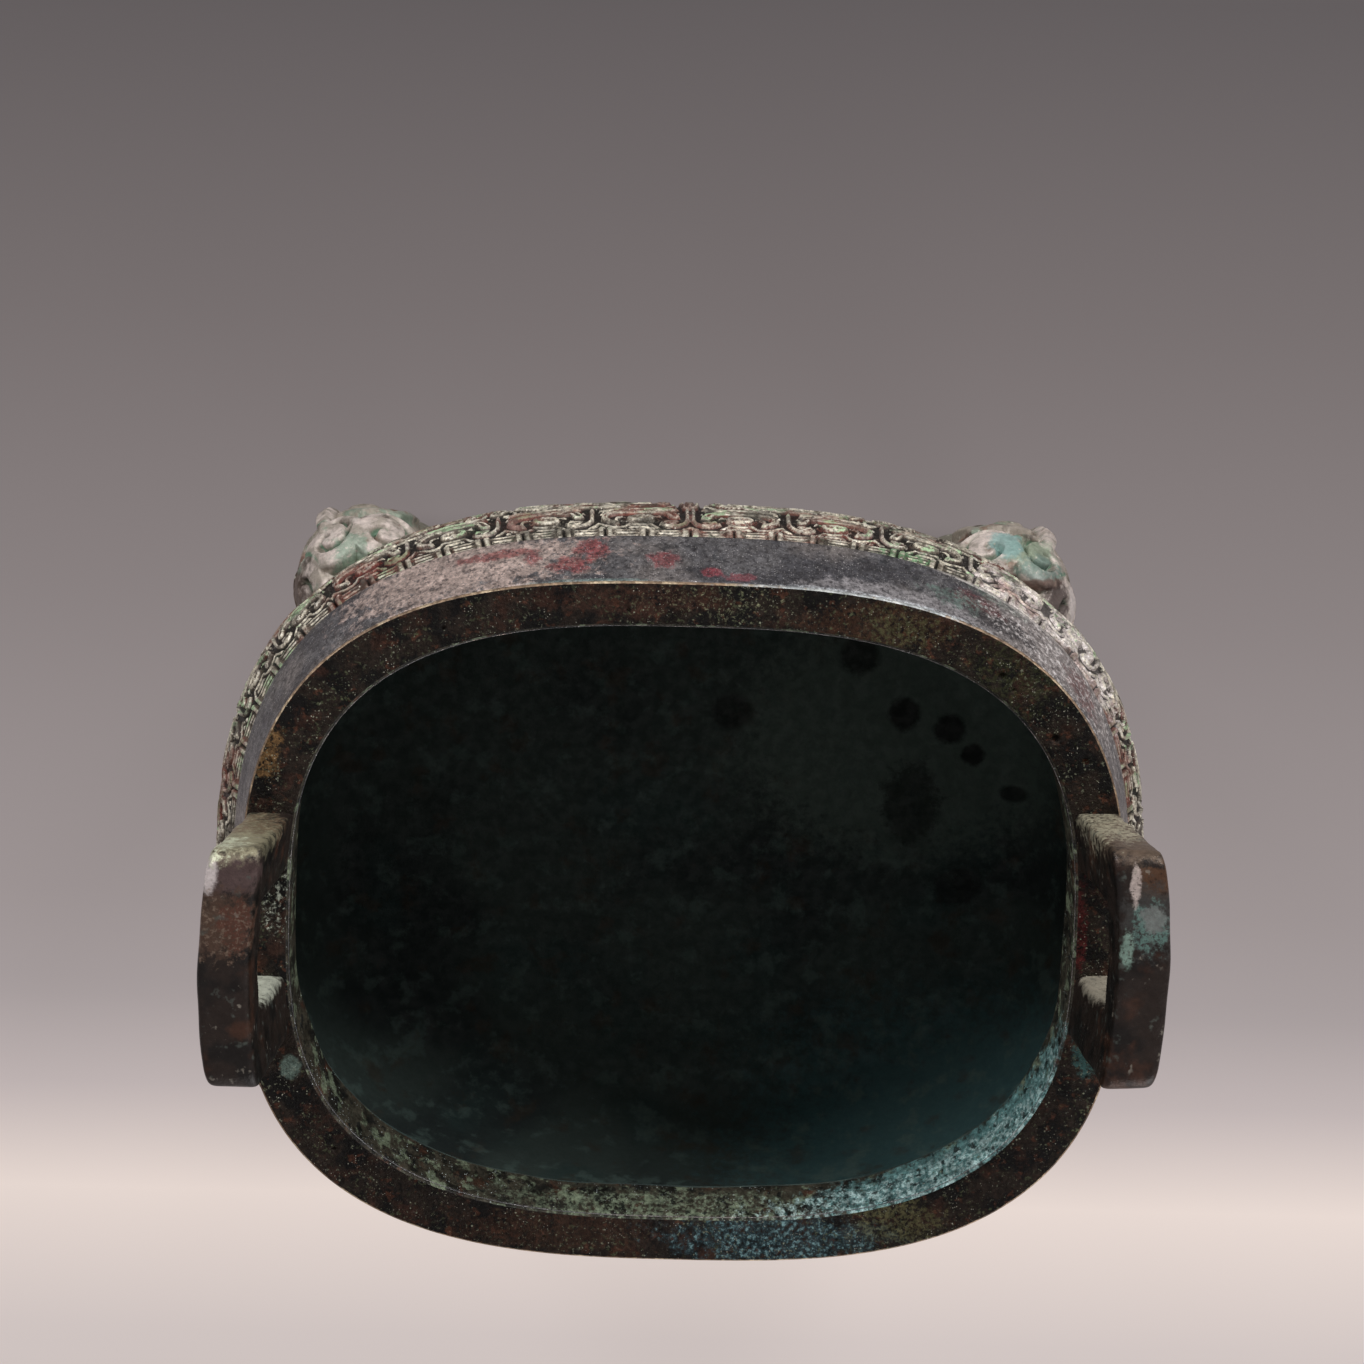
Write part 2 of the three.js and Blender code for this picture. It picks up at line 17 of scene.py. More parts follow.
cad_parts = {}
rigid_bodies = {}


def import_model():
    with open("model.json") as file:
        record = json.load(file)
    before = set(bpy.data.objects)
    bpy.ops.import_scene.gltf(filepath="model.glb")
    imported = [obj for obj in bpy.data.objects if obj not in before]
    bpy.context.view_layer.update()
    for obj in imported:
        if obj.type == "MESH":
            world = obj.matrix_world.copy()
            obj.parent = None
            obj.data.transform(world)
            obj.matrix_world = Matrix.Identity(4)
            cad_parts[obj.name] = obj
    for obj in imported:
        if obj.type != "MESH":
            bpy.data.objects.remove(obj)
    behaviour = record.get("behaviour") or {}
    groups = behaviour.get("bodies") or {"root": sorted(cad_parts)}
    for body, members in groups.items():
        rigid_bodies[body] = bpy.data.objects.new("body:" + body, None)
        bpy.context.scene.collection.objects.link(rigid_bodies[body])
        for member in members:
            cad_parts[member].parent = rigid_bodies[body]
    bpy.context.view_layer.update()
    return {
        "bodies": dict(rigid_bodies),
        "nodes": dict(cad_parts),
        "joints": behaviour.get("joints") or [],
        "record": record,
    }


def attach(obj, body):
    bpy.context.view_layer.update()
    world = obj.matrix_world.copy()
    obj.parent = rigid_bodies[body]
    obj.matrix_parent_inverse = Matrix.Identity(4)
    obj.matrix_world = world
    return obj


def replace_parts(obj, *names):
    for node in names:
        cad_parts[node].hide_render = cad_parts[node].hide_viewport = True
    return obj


LOG = logging.getLogger("incense_burner")
MM = 0.001
TURN = 2 * np.pi
QUARTER = np.pi / 2
FINE = 1000
TINY = 1e-6
Array = np.ndarray
Socket = bpy.types.NodeSocket
Colour = tuple[float, float, float, float]
Seen = tuple[int, int, int]
Triple = tuple[float, float, float]
Pair = tuple[float, float]
Range = tuple[float, float]
Oval = tuple[float, float, float, float]
Points = tuple[tuple[float, float], ...]

# The usual curve from a seen colour to a linear one: a straight toe, then a power.
FULL = 255
TOE = 0.04045
TOE_SLOPE = 12.92
CURVE_SHIFT = 0.055
CURVE_POWER = 2.4


def paint(red: int, green: int, blue: int) -> Colour:
    """Turns a colour as it is seen, 0 to 255, into the linear values that a shader takes.

    Args:
        red: the red part.
        green: the green part.
        blue: the blue part.

    Returns:
        The linear parts from 0 to 1, and 1 for opaque.
    """
    seen = np.array([red, green, blue]) / FULL
    curved = ((seen + CURVE_SHIFT) / (1 + CURVE_SHIFT)) ** CURVE_POWER
    linear = np.where(seen <= TOE, seen / TOE_SLOPE, curved)
    return (*(float(part) for part in linear), 1.0)


def smooth(low: float, high: float, value: Array) -> Array:
    """Eases from 0 at low to 1 at high, with a level start and end."""
    share = np.clip((value - low) / (high - low), 0, 1)
    return share * share * (3 - 2 * share)


def mix(start: Array | float, end: Array | float, share: Array | float) -> Array:
    """Goes straight from start to end as share goes from 0 to 1."""
    return start + (end - start) * share


def powered(value: Array, power: Array | float) -> Array:
    """Raises the size of value to a power and keeps its sign."""
    return np.sign(value) * np.abs(value) ** power


def waves(place: Array, length: float, seed: int, count: int = 7, spread: Range = (0.6, 1.5)) -> Array:
    """Soft unevenness: twice the mean of some sine waves that cross at random angles.

    Args:
        place: points in mm, with x, y, z last.
        length: the waves' mean length in mm.
        seed: picks the angles and phases.
        count: how many waves are added.
        spread: the least and most that a wave's number is times the mean one.

    Returns:
        One value from about -1 to 1 for each point.
    """
    draw = np.random.default_rng(seed)
    turn = draw.normal(size=(3, count))
    turn *= TURN / length * draw.uniform(*spread, count) / np.linalg.norm(turn, axis=0)
    return np.sin(place @ turn + draw.uniform(0, TURN, count)).mean(axis=-1) * 2


def wobble(place: Array, length: float, seed: int) -> Array:
    """A soft unevenness along X, Y and Z, each from a seed of its own."""
    return np.stack([waves(place, length, seed + axis) for axis in range(3)], axis=-1)


def outside_line(across: Array, down: Array, line: Points | Array, half: Array) -> Array:
    """How far each place lies outside a band round a line of straight stretches, negative inside it.

    That is the distance to the nearest point of a stretch, less the band's half width there.

    Args:
        across: the first coordinate of each place.
        down: the second coordinate of each place.
        line: the line's corners.
        half: the band's half width at each corner.

    Returns:
        The distances, in the shape of across.
    """
    nearest = np.full(across.shape, np.inf)
    for (a0, b0), (a1, b1), h0, h1 in zip(line, line[1:], half, half[1:]):
        run, fall = a1 - a0, b1 - b0
        share = np.clip(((across - a0) * run + (down - b0) * fall) / (run * run + fall * fall), 0, 1)
        far = np.hypot(across - a0 - share * run, down - b0 - share * fall)
        nearest = np.minimum(nearest, far - mix(h0, h1, share))
    return nearest


def normals_of(grid: Array) -> Array:
    """The unit normals of a grid of points, across its rows and columns by the right-hand rule."""
    normal = np.cross(np.gradient(grid, axis=1), np.gradient(grid, axis=0))
    return normal / np.maximum(np.linalg.norm(normal, axis=-1, keepdims=True), TINY)


def grid_faces(number: Array, closed: bool) -> Array:
    """The quads between the rows and columns of a grid of vertices.

    Args:
        number: the grid of vertex numbers.
        closed: whether the last column meets the first.

    Returns:
        An array of four vertex numbers for each quad.
    """
    after = np.roll(number, -1, axis=1)
    quads = np.stack([number[:-1], after[:-1], after[1:], number[1:]], axis=-1)
    return (quads if closed else quads[:, :-1]).reshape(-1, 4)


def facing_out(points: Array, faces: list[Array]) -> list[Array]:
    """Turns the faces of a closed shape round if the volume that they enclose comes out negative.

    Args:
        points: the shape's vertices.
        faces: arrays of vertex numbers, each with one row per face.

    Returns:
        The faces, all turned round or all as they were.
    """
    volume = 0.0
    for part in faces:
        for corner in range(1, part.shape[1] - 1):
            first = points[part[:, 0]]
            second = points[part[:, corner]]
            third = points[part[:, corner + 1]]
            volume += float((first * np.cross(second, third)).sum())
    return faces if volume > 0 else [part[:, ::-1] for part in faces]


def turned(grid: Array) -> tuple[Array, list[Array]]:
    """Closes a grid of rings with a pole in the middle of its first and of its last ring.

    Args:
        grid: the points, ring by ring.

    Returns:
        The points with the two poles last, and the faces, which point outwards.
    """
    rows, columns = grid.shape[:2]
    points = np.concatenate([grid.reshape(-1, 3), grid[:1].mean(axis=1), grid[-1:].mean(axis=1)])
    number = np.arange(rows * columns).reshape(rows, columns)
    pole = rows * columns
    start = np.stack([np.full(columns, pole), np.roll(number[0], -1), number[0]], axis=-1)
    end = np.stack([np.full(columns, pole + 1), number[-1], np.roll(number[-1], -1)], axis=-1)
    return points, facing_out(points, [grid_faces(number, True), start, end])


def make_piece(
    name: str,
    points: Array,
    faces: list[Array],
    looks: list[bpy.types.Material],
    marks: dict[str, Array] | None = None,
    look_of: Array | None = None,
) -> bpy.types.Object:
    """Makes a smooth-shaded mesh object at the origin that rides on the burner.

    Args:
        name: the piece's name.
        points: its vertices in mm.
        faces: arrays of vertex numbers, each with one row per face.
        looks: its materials.
        marks: named values, one for each vertex, that its finish reads.
        look_of: the number of each face's material, where it has several.

    Returns:
        The object.
    """
    corners = np.concatenate([part.ravel() for part in faces]).astype(np.int32)
    totals = np.concatenate([np.full(len(part), part.shape[1], np.int32) for part in faces])
    mesh = bpy.data.meshes.new(name)
    mesh.vertices.add(len(points))
    mesh.vertices.foreach_set("co", (points * MM).astype(np.float32).ravel())
    mesh.loops.add(len(corners))
    mesh.loops.foreach_set("vertex_index", corners)
    mesh.polygons.add(len(totals))
    mesh.polygons.foreach_set("loop_start", np.cumsum(totals, dtype=np.int32) - totals)
    for look in looks:
        mesh.materials.append(look)
    if look_of is not None:
        mesh.polygons.foreach_set("material_index", look_of.astype(np.int32))
    mesh.update(calc_edges=True)
    mesh.shade_smooth()
    for mark, values in (marks or {}).items():
        layer = mesh.attributes.new(mark, "FLOAT", "POINT")
        layer.data.foreach_set("value", values.astype(np.float32).ravel())
    piece = bpy.data.objects.new(name, mesh)
    bpy.context.scene.collection.objects.link(piece)
    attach(piece, "root")
    LOG.info("%s: %d faces", name, len(totals))
    return piece


# Finishes


class Graph:
    """Builds the nodes of a material or a world: each method adds a node and returns its output.

    Each seed moves the noise, and each seed of the dots the dots, by a step of its own, in metres.
    """

    cloud_step: Triple = (0.37, 0.19, 0.53)
    dot_step: Triple = (0.23, 0.41, 0.17)
    dot_radius: float = 0.4
    dot_edge: float = 0.12

    def __init__(self, owner: bpy.types.Material | bpy.types.World, long_grain: float = 1.0) -> None:
        """Empties what nodes the owner has; the grain of its noise may be drawn out along Z.

        Args:
            owner: the material or the world.
            long_grain: how many times longer along Z than across the grain is.
        """
        self.owner = owner
        owner.use_nodes = True
        self.tree = owner.node_tree
        self.tree.nodes.clear()
        self.long_grain = long_grain
        self.clouds: dict[tuple, Socket] = {}

    @cached_property
    def place(self) -> Socket:
        """Each point's place, in Object coordinates."""
        return self.add("ShaderNodeTexCoord").outputs["Object"]

    @cached_property
    def grain(self) -> Socket:
        """The place, shortened along Z by as much as the grain is drawn out."""
        return self.vector("MULTIPLY", self.place, [1.0, 1.0, 1 / self.long_grain]).outputs[0]

    def add(self, kind: str, inputs: dict[str | int, object] | None = None) -> bpy.types.Node:
        """Adds a node of a kind and feeds its inputs from outputs or plain values.

        Args:
            kind: the node's type.
            inputs: a value for each input, by its name or number.

        Returns:
            The node.
        """
        node = self.tree.nodes.new(kind)
        for key, value in (inputs or {}).items():
            if isinstance(value, bpy.types.NodeSocket):
                self.tree.links.new(value, node.inputs[key])
            else:
                node.inputs[key].default_value = value
        return node

    def sum(self, kind: str, first: Socket | float, second: Socket | float = 0.0) -> Socket:
        """Adds a Math node that works on two values.

        Args:
            kind: the operation.
            first: its first value.
            second: its second value.

        Returns:
            The result.
        """
        node = self.add("ShaderNodeMath", {0: first, 1: second})
        node.operation = kind
        return node.outputs[0]

    def vector(self, kind: str, first: Socket, second: list[float] | None = None) -> bpy.types.Node:
        """Adds a Vector Math node.

        Args:
            kind: the operation.
            first: its first vector.
            second: its second vector.

        Returns:
            The node.
        """
        node = self.add("ShaderNodeVectorMath", {0: first, 1: second or [0.0, 0.0, 0.0]})
        node.operation = kind
        return node

    def cloud(self, size: float, detail: float = 4.0, rough: float = 0.55, seed: int = 0) -> Socket:
        """Adds noise whose lumps are about size mm across, or finds it again if it is there already.

        Args:
            size: the lumps' size in mm.
            detail: how many finer layers it has.
            rough: how strong they are.
            seed: moves the noise.

        Returns:
            The noise, from 0 to 1.
        """
        key = (size, detail, rough, seed)
        if key not in self.clouds:
            moved = self.vector("ADD", self.grain, [step * seed for step in self.cloud_step]).outputs[0]
            inputs = {"Vector": moved, "Scale": 1 / (size * MM), "Detail": detail, "Roughness": rough}
            self.clouds[key] = self.add("ShaderNodeTexNoise", inputs).outputs[0]
        return self.clouds[key]

    def dots(self, pitch: float, share: float, seed: int) -> Socket:
        """Scatters round dots of mixed sizes.

        Args:
            pitch: the mean distance between their places, in mm.
            share: the share of the places that hold a dot.
            seed: moves the places.

        Returns:
            1 on a dot and 0 beside it.
        """
        moved = self.vector("ADD", self.grain, [step * seed for step in self.dot_step]).outputs[0]
        cells = self.add("ShaderNodeTexVoronoi", {"Vector": moved, "Scale": 1 / (pitch * MM)})
        chance = self.add("ShaderNodeSeparateColor", {0: cells.outputs["Color"]}).outputs[0]
        limits = {0: chance, 1: 1 - share, 2: 1.0, 3: 0.0, 4: self.dot_radius}
        radius = self.add("ShaderNodeMapRange", limits).outputs[0]
        return self.above(self.sum("SUBTRACT", radius, cells.outputs["Distance"]), 0.0, self.dot_edge)

    def above(self, value: Socket, low: float, high: float, start: float = 0.0, end: float = 1.0) -> Socket:
        """Eases from start to end as value goes from low to high.

        Args:
            value: what is measured.
            low: where the easing starts.
            high: where it ends.
            start: the result up to low.
            end: the result from high on.

        Returns:
            The eased value.
        """
        node = self.add("ShaderNodeMapRange", {0: value, 1: low, 2: high, 3: start, 4: end})
        node.interpolation_type = "SMOOTHSTEP"
        return node.outputs[0]

    def blend(self, share: Socket | float, first: Socket | Colour, second: Socket | Colour) -> Socket:
        """Mixes two colours.

        Args:
            share: 0 for the first colour, 1 for the second.
            first: the one colour.
            second: the other colour.

        Returns:
            The mixed colour.
        """
        node = self.add("ShaderNodeMix")
        node.data_type = "RGBA"
        for key, value in ((0, share), (6, first), (7, second)):
            if isinstance(value, bpy.types.NodeSocket):
                self.tree.links.new(value, node.inputs[key])
            else:
                node.inputs[key].default_value = value
        return node.outputs[2]

    def shade(self, colour: Socket | Colour, tone: Socket) -> Socket:
        """Makes a colour lighter or darker by a factor.

        Args:
            colour: the colour.
            tone: the factor.

        Returns:
            The new colour.
        """
        node = self.vector("SCALE", colour)
        self.tree.links.new(tone, node.inputs["Scale"])
        return node.outputs[0]

    def mark(self, name: str) -> Socket:
        """Reads a named value of the mesh.

        Args:
            name: the value's name.

        Returns:
            The value.
        """
        node = self.add("ShaderNodeAttribute")
        node.attribute_name = name
        return node.outputs["Fac"]

    def bump(self, height: Socket, strength: float, depth: float, under: Socket | None = None) -> Socket:
        """Adds a bump of a depth in mm over another one.

        Args:
            height: the bump's height from 0 to 1.
            strength: how much of it counts.
            depth: its depth.
            under: the bump that it lies on.

        Returns:
            The bent normal.
        """
        inputs = {"Height": height, "Strength": strength, "Distance": depth * MM}
        if under:
            inputs["Normal"] = under
        return self.add("ShaderNodeBump", inputs).outputs[0]

    def finish(
        self, colour: Socket, rough: Socket, metal: float, normal: Socket, mirror: float = 0.5
    ) -> bpy.types.Material:
        """Ends the material in its surface.

        Args:
            colour: its colour.
            rough: its roughness.
            metal: how metallic it is.
            normal: its bent normal.
            mirror: how much it mirrors where it isn't metal.

        Returns:
            The material.
        """
        inputs = {"Base Color": colour, "Roughness": rough, "Metallic": metal, "Normal": normal,
                  "Specular IOR Level": mirror}
        surface = self.add("ShaderNodeBsdfPrincipled", inputs)
        self.add("ShaderNodeOutputMaterial", {"Surface": surface.outputs[0]})
        return self.owner


# Noises that several coats share: lump size in mm, detail, roughness and seed, or detail and roughness alone.
ZONE_GRAIN = (4, 0.6)
FRAY_NOISE = (2.2, 6, 0.72, 9)
GAP_NOISE = (1.0, 4, 0.7, 12)
SHINE_NOISE = (2.6, 5, 0.65, 4)
SWELL_NOISE = (5.0, 3, 0.5, 5)
TONE_GRAIN = (4, 0.7)
GRIT_GRAIN = (3, 0.7)


@dataclass(frozen=True)
class Coat:
    """A colour, as it is seen, that covers part of a surface, up to a strength from 0 to 1: mostly patina and
    stains, and where marked, painted highlights, glints and shade.
    """

    colour: Seen
    strength: float

    def cover(self, graph: Graph) -> Socket:
        """How much of the surface the coat hides at each place, from 0 to 1."""
        raise NotImplementedError


@dataclass(frozen=True)
class Cloud(Coat):
    """Covers where noise of one lump size, in mm, rises above a level.

    A mark of the mesh may limit it to where the mark rises over a range, and a zone, with its size in mm and
    its level, to where a larger noise does.
    """

    size: float
    level: float
    fade: float = 0.08
    seed: int = 0
    rough: float = 0.62
    mark: str = ""
    over: Range = (0.3, 0.7)
    zone: Range | None = None
    detail: float = 5
    zone_fade: float = 0.06

    def cover(self, graph: Graph) -> Socket:
        """How much of the surface the coat hides at each place, from 0 to 1.

        Args:
            graph: the finish's nodes.

        Returns:
            The share.
        """
        noise = graph.cloud(self.size, self.detail, self.rough, self.seed)
        share = graph.above(noise, self.level, self.level + self.fade)
        if self.zone:
            size, level = self.zone
            noise = graph.cloud(size, *ZONE_GRAIN, self.seed + 1)
            zone = graph.above(noise, level - self.zone_fade, level + self.zone_fade)
            share = graph.sum("MULTIPLY", share, zone)
        if self.mark:
            share = graph.sum("MULTIPLY", share, graph.above(graph.mark(self.mark), *self.over))
        return share


@dataclass(frozen=True)
class Dots(Coat):
    """Scattered dots at a pitch in mm, on a share of their places, in zones of another size in mm: grains of
    patina, and on the lip and the neck painted glints.
    """

    pitch: float
    share: float = 0.5
    zone: float = 0.0
    level: float = 0.5
    seed: int = 0
    zone_fade: float = 0.08

    def cover(self, graph: Graph) -> Socket:
        """How much of the surface the coat hides at each place, from 0 to 1.

        Args:
            graph: the finish's nodes.

        Returns:
            The share.
        """
        share = graph.dots(self.pitch, self.share, self.seed)
        if not self.zone:
            return share
        zone = graph.cloud(self.zone, *ZONE_GRAIN, self.seed)
        return graph.sum("MULTIPLY", share, graph.above(zone, self.level, self.level + self.zone_fade))


@dataclass(frozen=True)
class Patch(Coat):
    """A ragged oval patch at one place.

    It has its middle and its half lengths, in mm, how far its edge frays, and how large its gaps are. Its
    edge lies where the distance from its middle, in half lengths, falls through a range.
    """

    centre: Triple
    size: Triple
    fray: float = 2.4
    gaps: float = 0.38
    edge: Range = (1.2, 0.7)
    gap_fade: float = 0.14

    def cover(self, graph: Graph) -> Socket:
        """How much of the surface the coat hides at each place, from 0 to 1.

        Args:
            graph: the finish's nodes.

        Returns:
            The share.
        """
        moved = graph.vector("ADD", graph.place, [-part * MM for part in self.centre]).outputs[0]
        scaled = graph.vector("MULTIPLY", moved, [1 / (part * MM) for part in self.size]).outputs[0]
        length = graph.vector("LENGTH", scaled).outputs["Value"]
        ragged = graph.sum("MULTIPLY", graph.sum("SUBTRACT", graph.cloud(*FRAY_NOISE), 0.5), self.fray)
        whole = graph.above(graph.sum("ADD", length, ragged), *self.edge)
        solid = graph.above(graph.cloud(*GAP_NOISE), self.gaps, self.gaps + self.gap_fade)
        return graph.sum("MULTIPLY", whole, solid)


@dataclass(frozen=True)
class OldBronze:
    """Old bronze: a skin of one seen colour under coats, with low swells and a fine grit that glitters.

    Its mottles each have a lump size in mm, their share of the whole mottle, and a seed.
    """

    name: str
    base: Seen
    coats: tuple[Coat, ...] = ()
    metal: float = 0.35
    rough: Range = (0.36, 0.6)
    grit: float = 0.5
    grit_size: float = 0.5
    grit_depth: float = 0.3
    mottle: float = 0.4
    long_grain: float = 1.0
    mirror: float = 0.3
    mottles: tuple[tuple[float, float, int], ...] = ((3.0, 0.75, 13), (0.9, 1.0, 14))
    mottle_range: Range = (0.32, 0.68)
    shine_range: Range = (0.35, 0.65)
    swell: float = 0.35
    swell_depth: float = 0.5

    def material(self) -> bpy.types.Material:
        """Makes the finish.

        Returns:
            The material.
        """
        graph = Graph(bpy.data.materials.new(self.name), self.long_grain)
        colour = paint(*self.base)
        for coat in self.coats:
            share = graph.sum("MULTIPLY", coat.cover(graph), coat.strength)
            colour = graph.blend(share, colour, paint(*coat.colour))
        for size, share, seed in self.mottles:
            depth = share * self.mottle
            noise = graph.cloud(size, *TONE_GRAIN, seed)
            colour = graph.shade(colour, graph.above(noise, *self.mottle_range, 1 - depth, 1 + depth))
        shine = graph.above(graph.cloud(*SHINE_NOISE), *self.shine_range, *self.rough)
        swell = graph.bump(graph.cloud(*SWELL_NOISE), self.swell, self.swell_depth)
        grit = graph.bump(graph.cloud(self.grit_size, *GRIT_GRAIN), self.grit, self.grit_depth, swell)
        return graph.finish(colour, shine, self.metal, grit, self.mirror)


@dataclass(frozen=True)
class FiredClay:
    """The clay left inside a hollow leg."""

    name: str = "core_clay"
    pale: Colour = paint(168, 132, 104)
    dark: Colour = paint(120, 84, 62)
    grain: Triple = (1.2, 5, 0.7)
    tone_range: Range = (0.35, 0.65)
    rough_range: Range = (-2.0, 0.4)
    bump: float = 0.5
    bump_depth: float = 0.4

    def material(self) -> bpy.types.Material:
        """Makes the finish.

        Returns:
            The material.
        """
        graph = Graph(bpy.data.materials.new(self.name))
        grain = graph.cloud(*self.grain)
        colour = graph.blend(graph.above(grain, *self.tone_range), self.dark, self.pale)
        shine = graph.above(grain, *self.rough_range)
        return graph.finish(colour, shine, 0.0, graph.bump(grain, self.bump, self.bump_depth))


def dark_spots(*each: tuple[float, ...]) -> tuple[Patch, ...]:
    """Dark round spots painted on the bowl's floor, each with its strength, its place and its half lengths in
    mm.
    """
    return tuple(Patch((8, 10, 10), strength, (x, y, 72), (length, width, 9), 0.8, 0.1)
                 for strength, x, y, length, width in each)


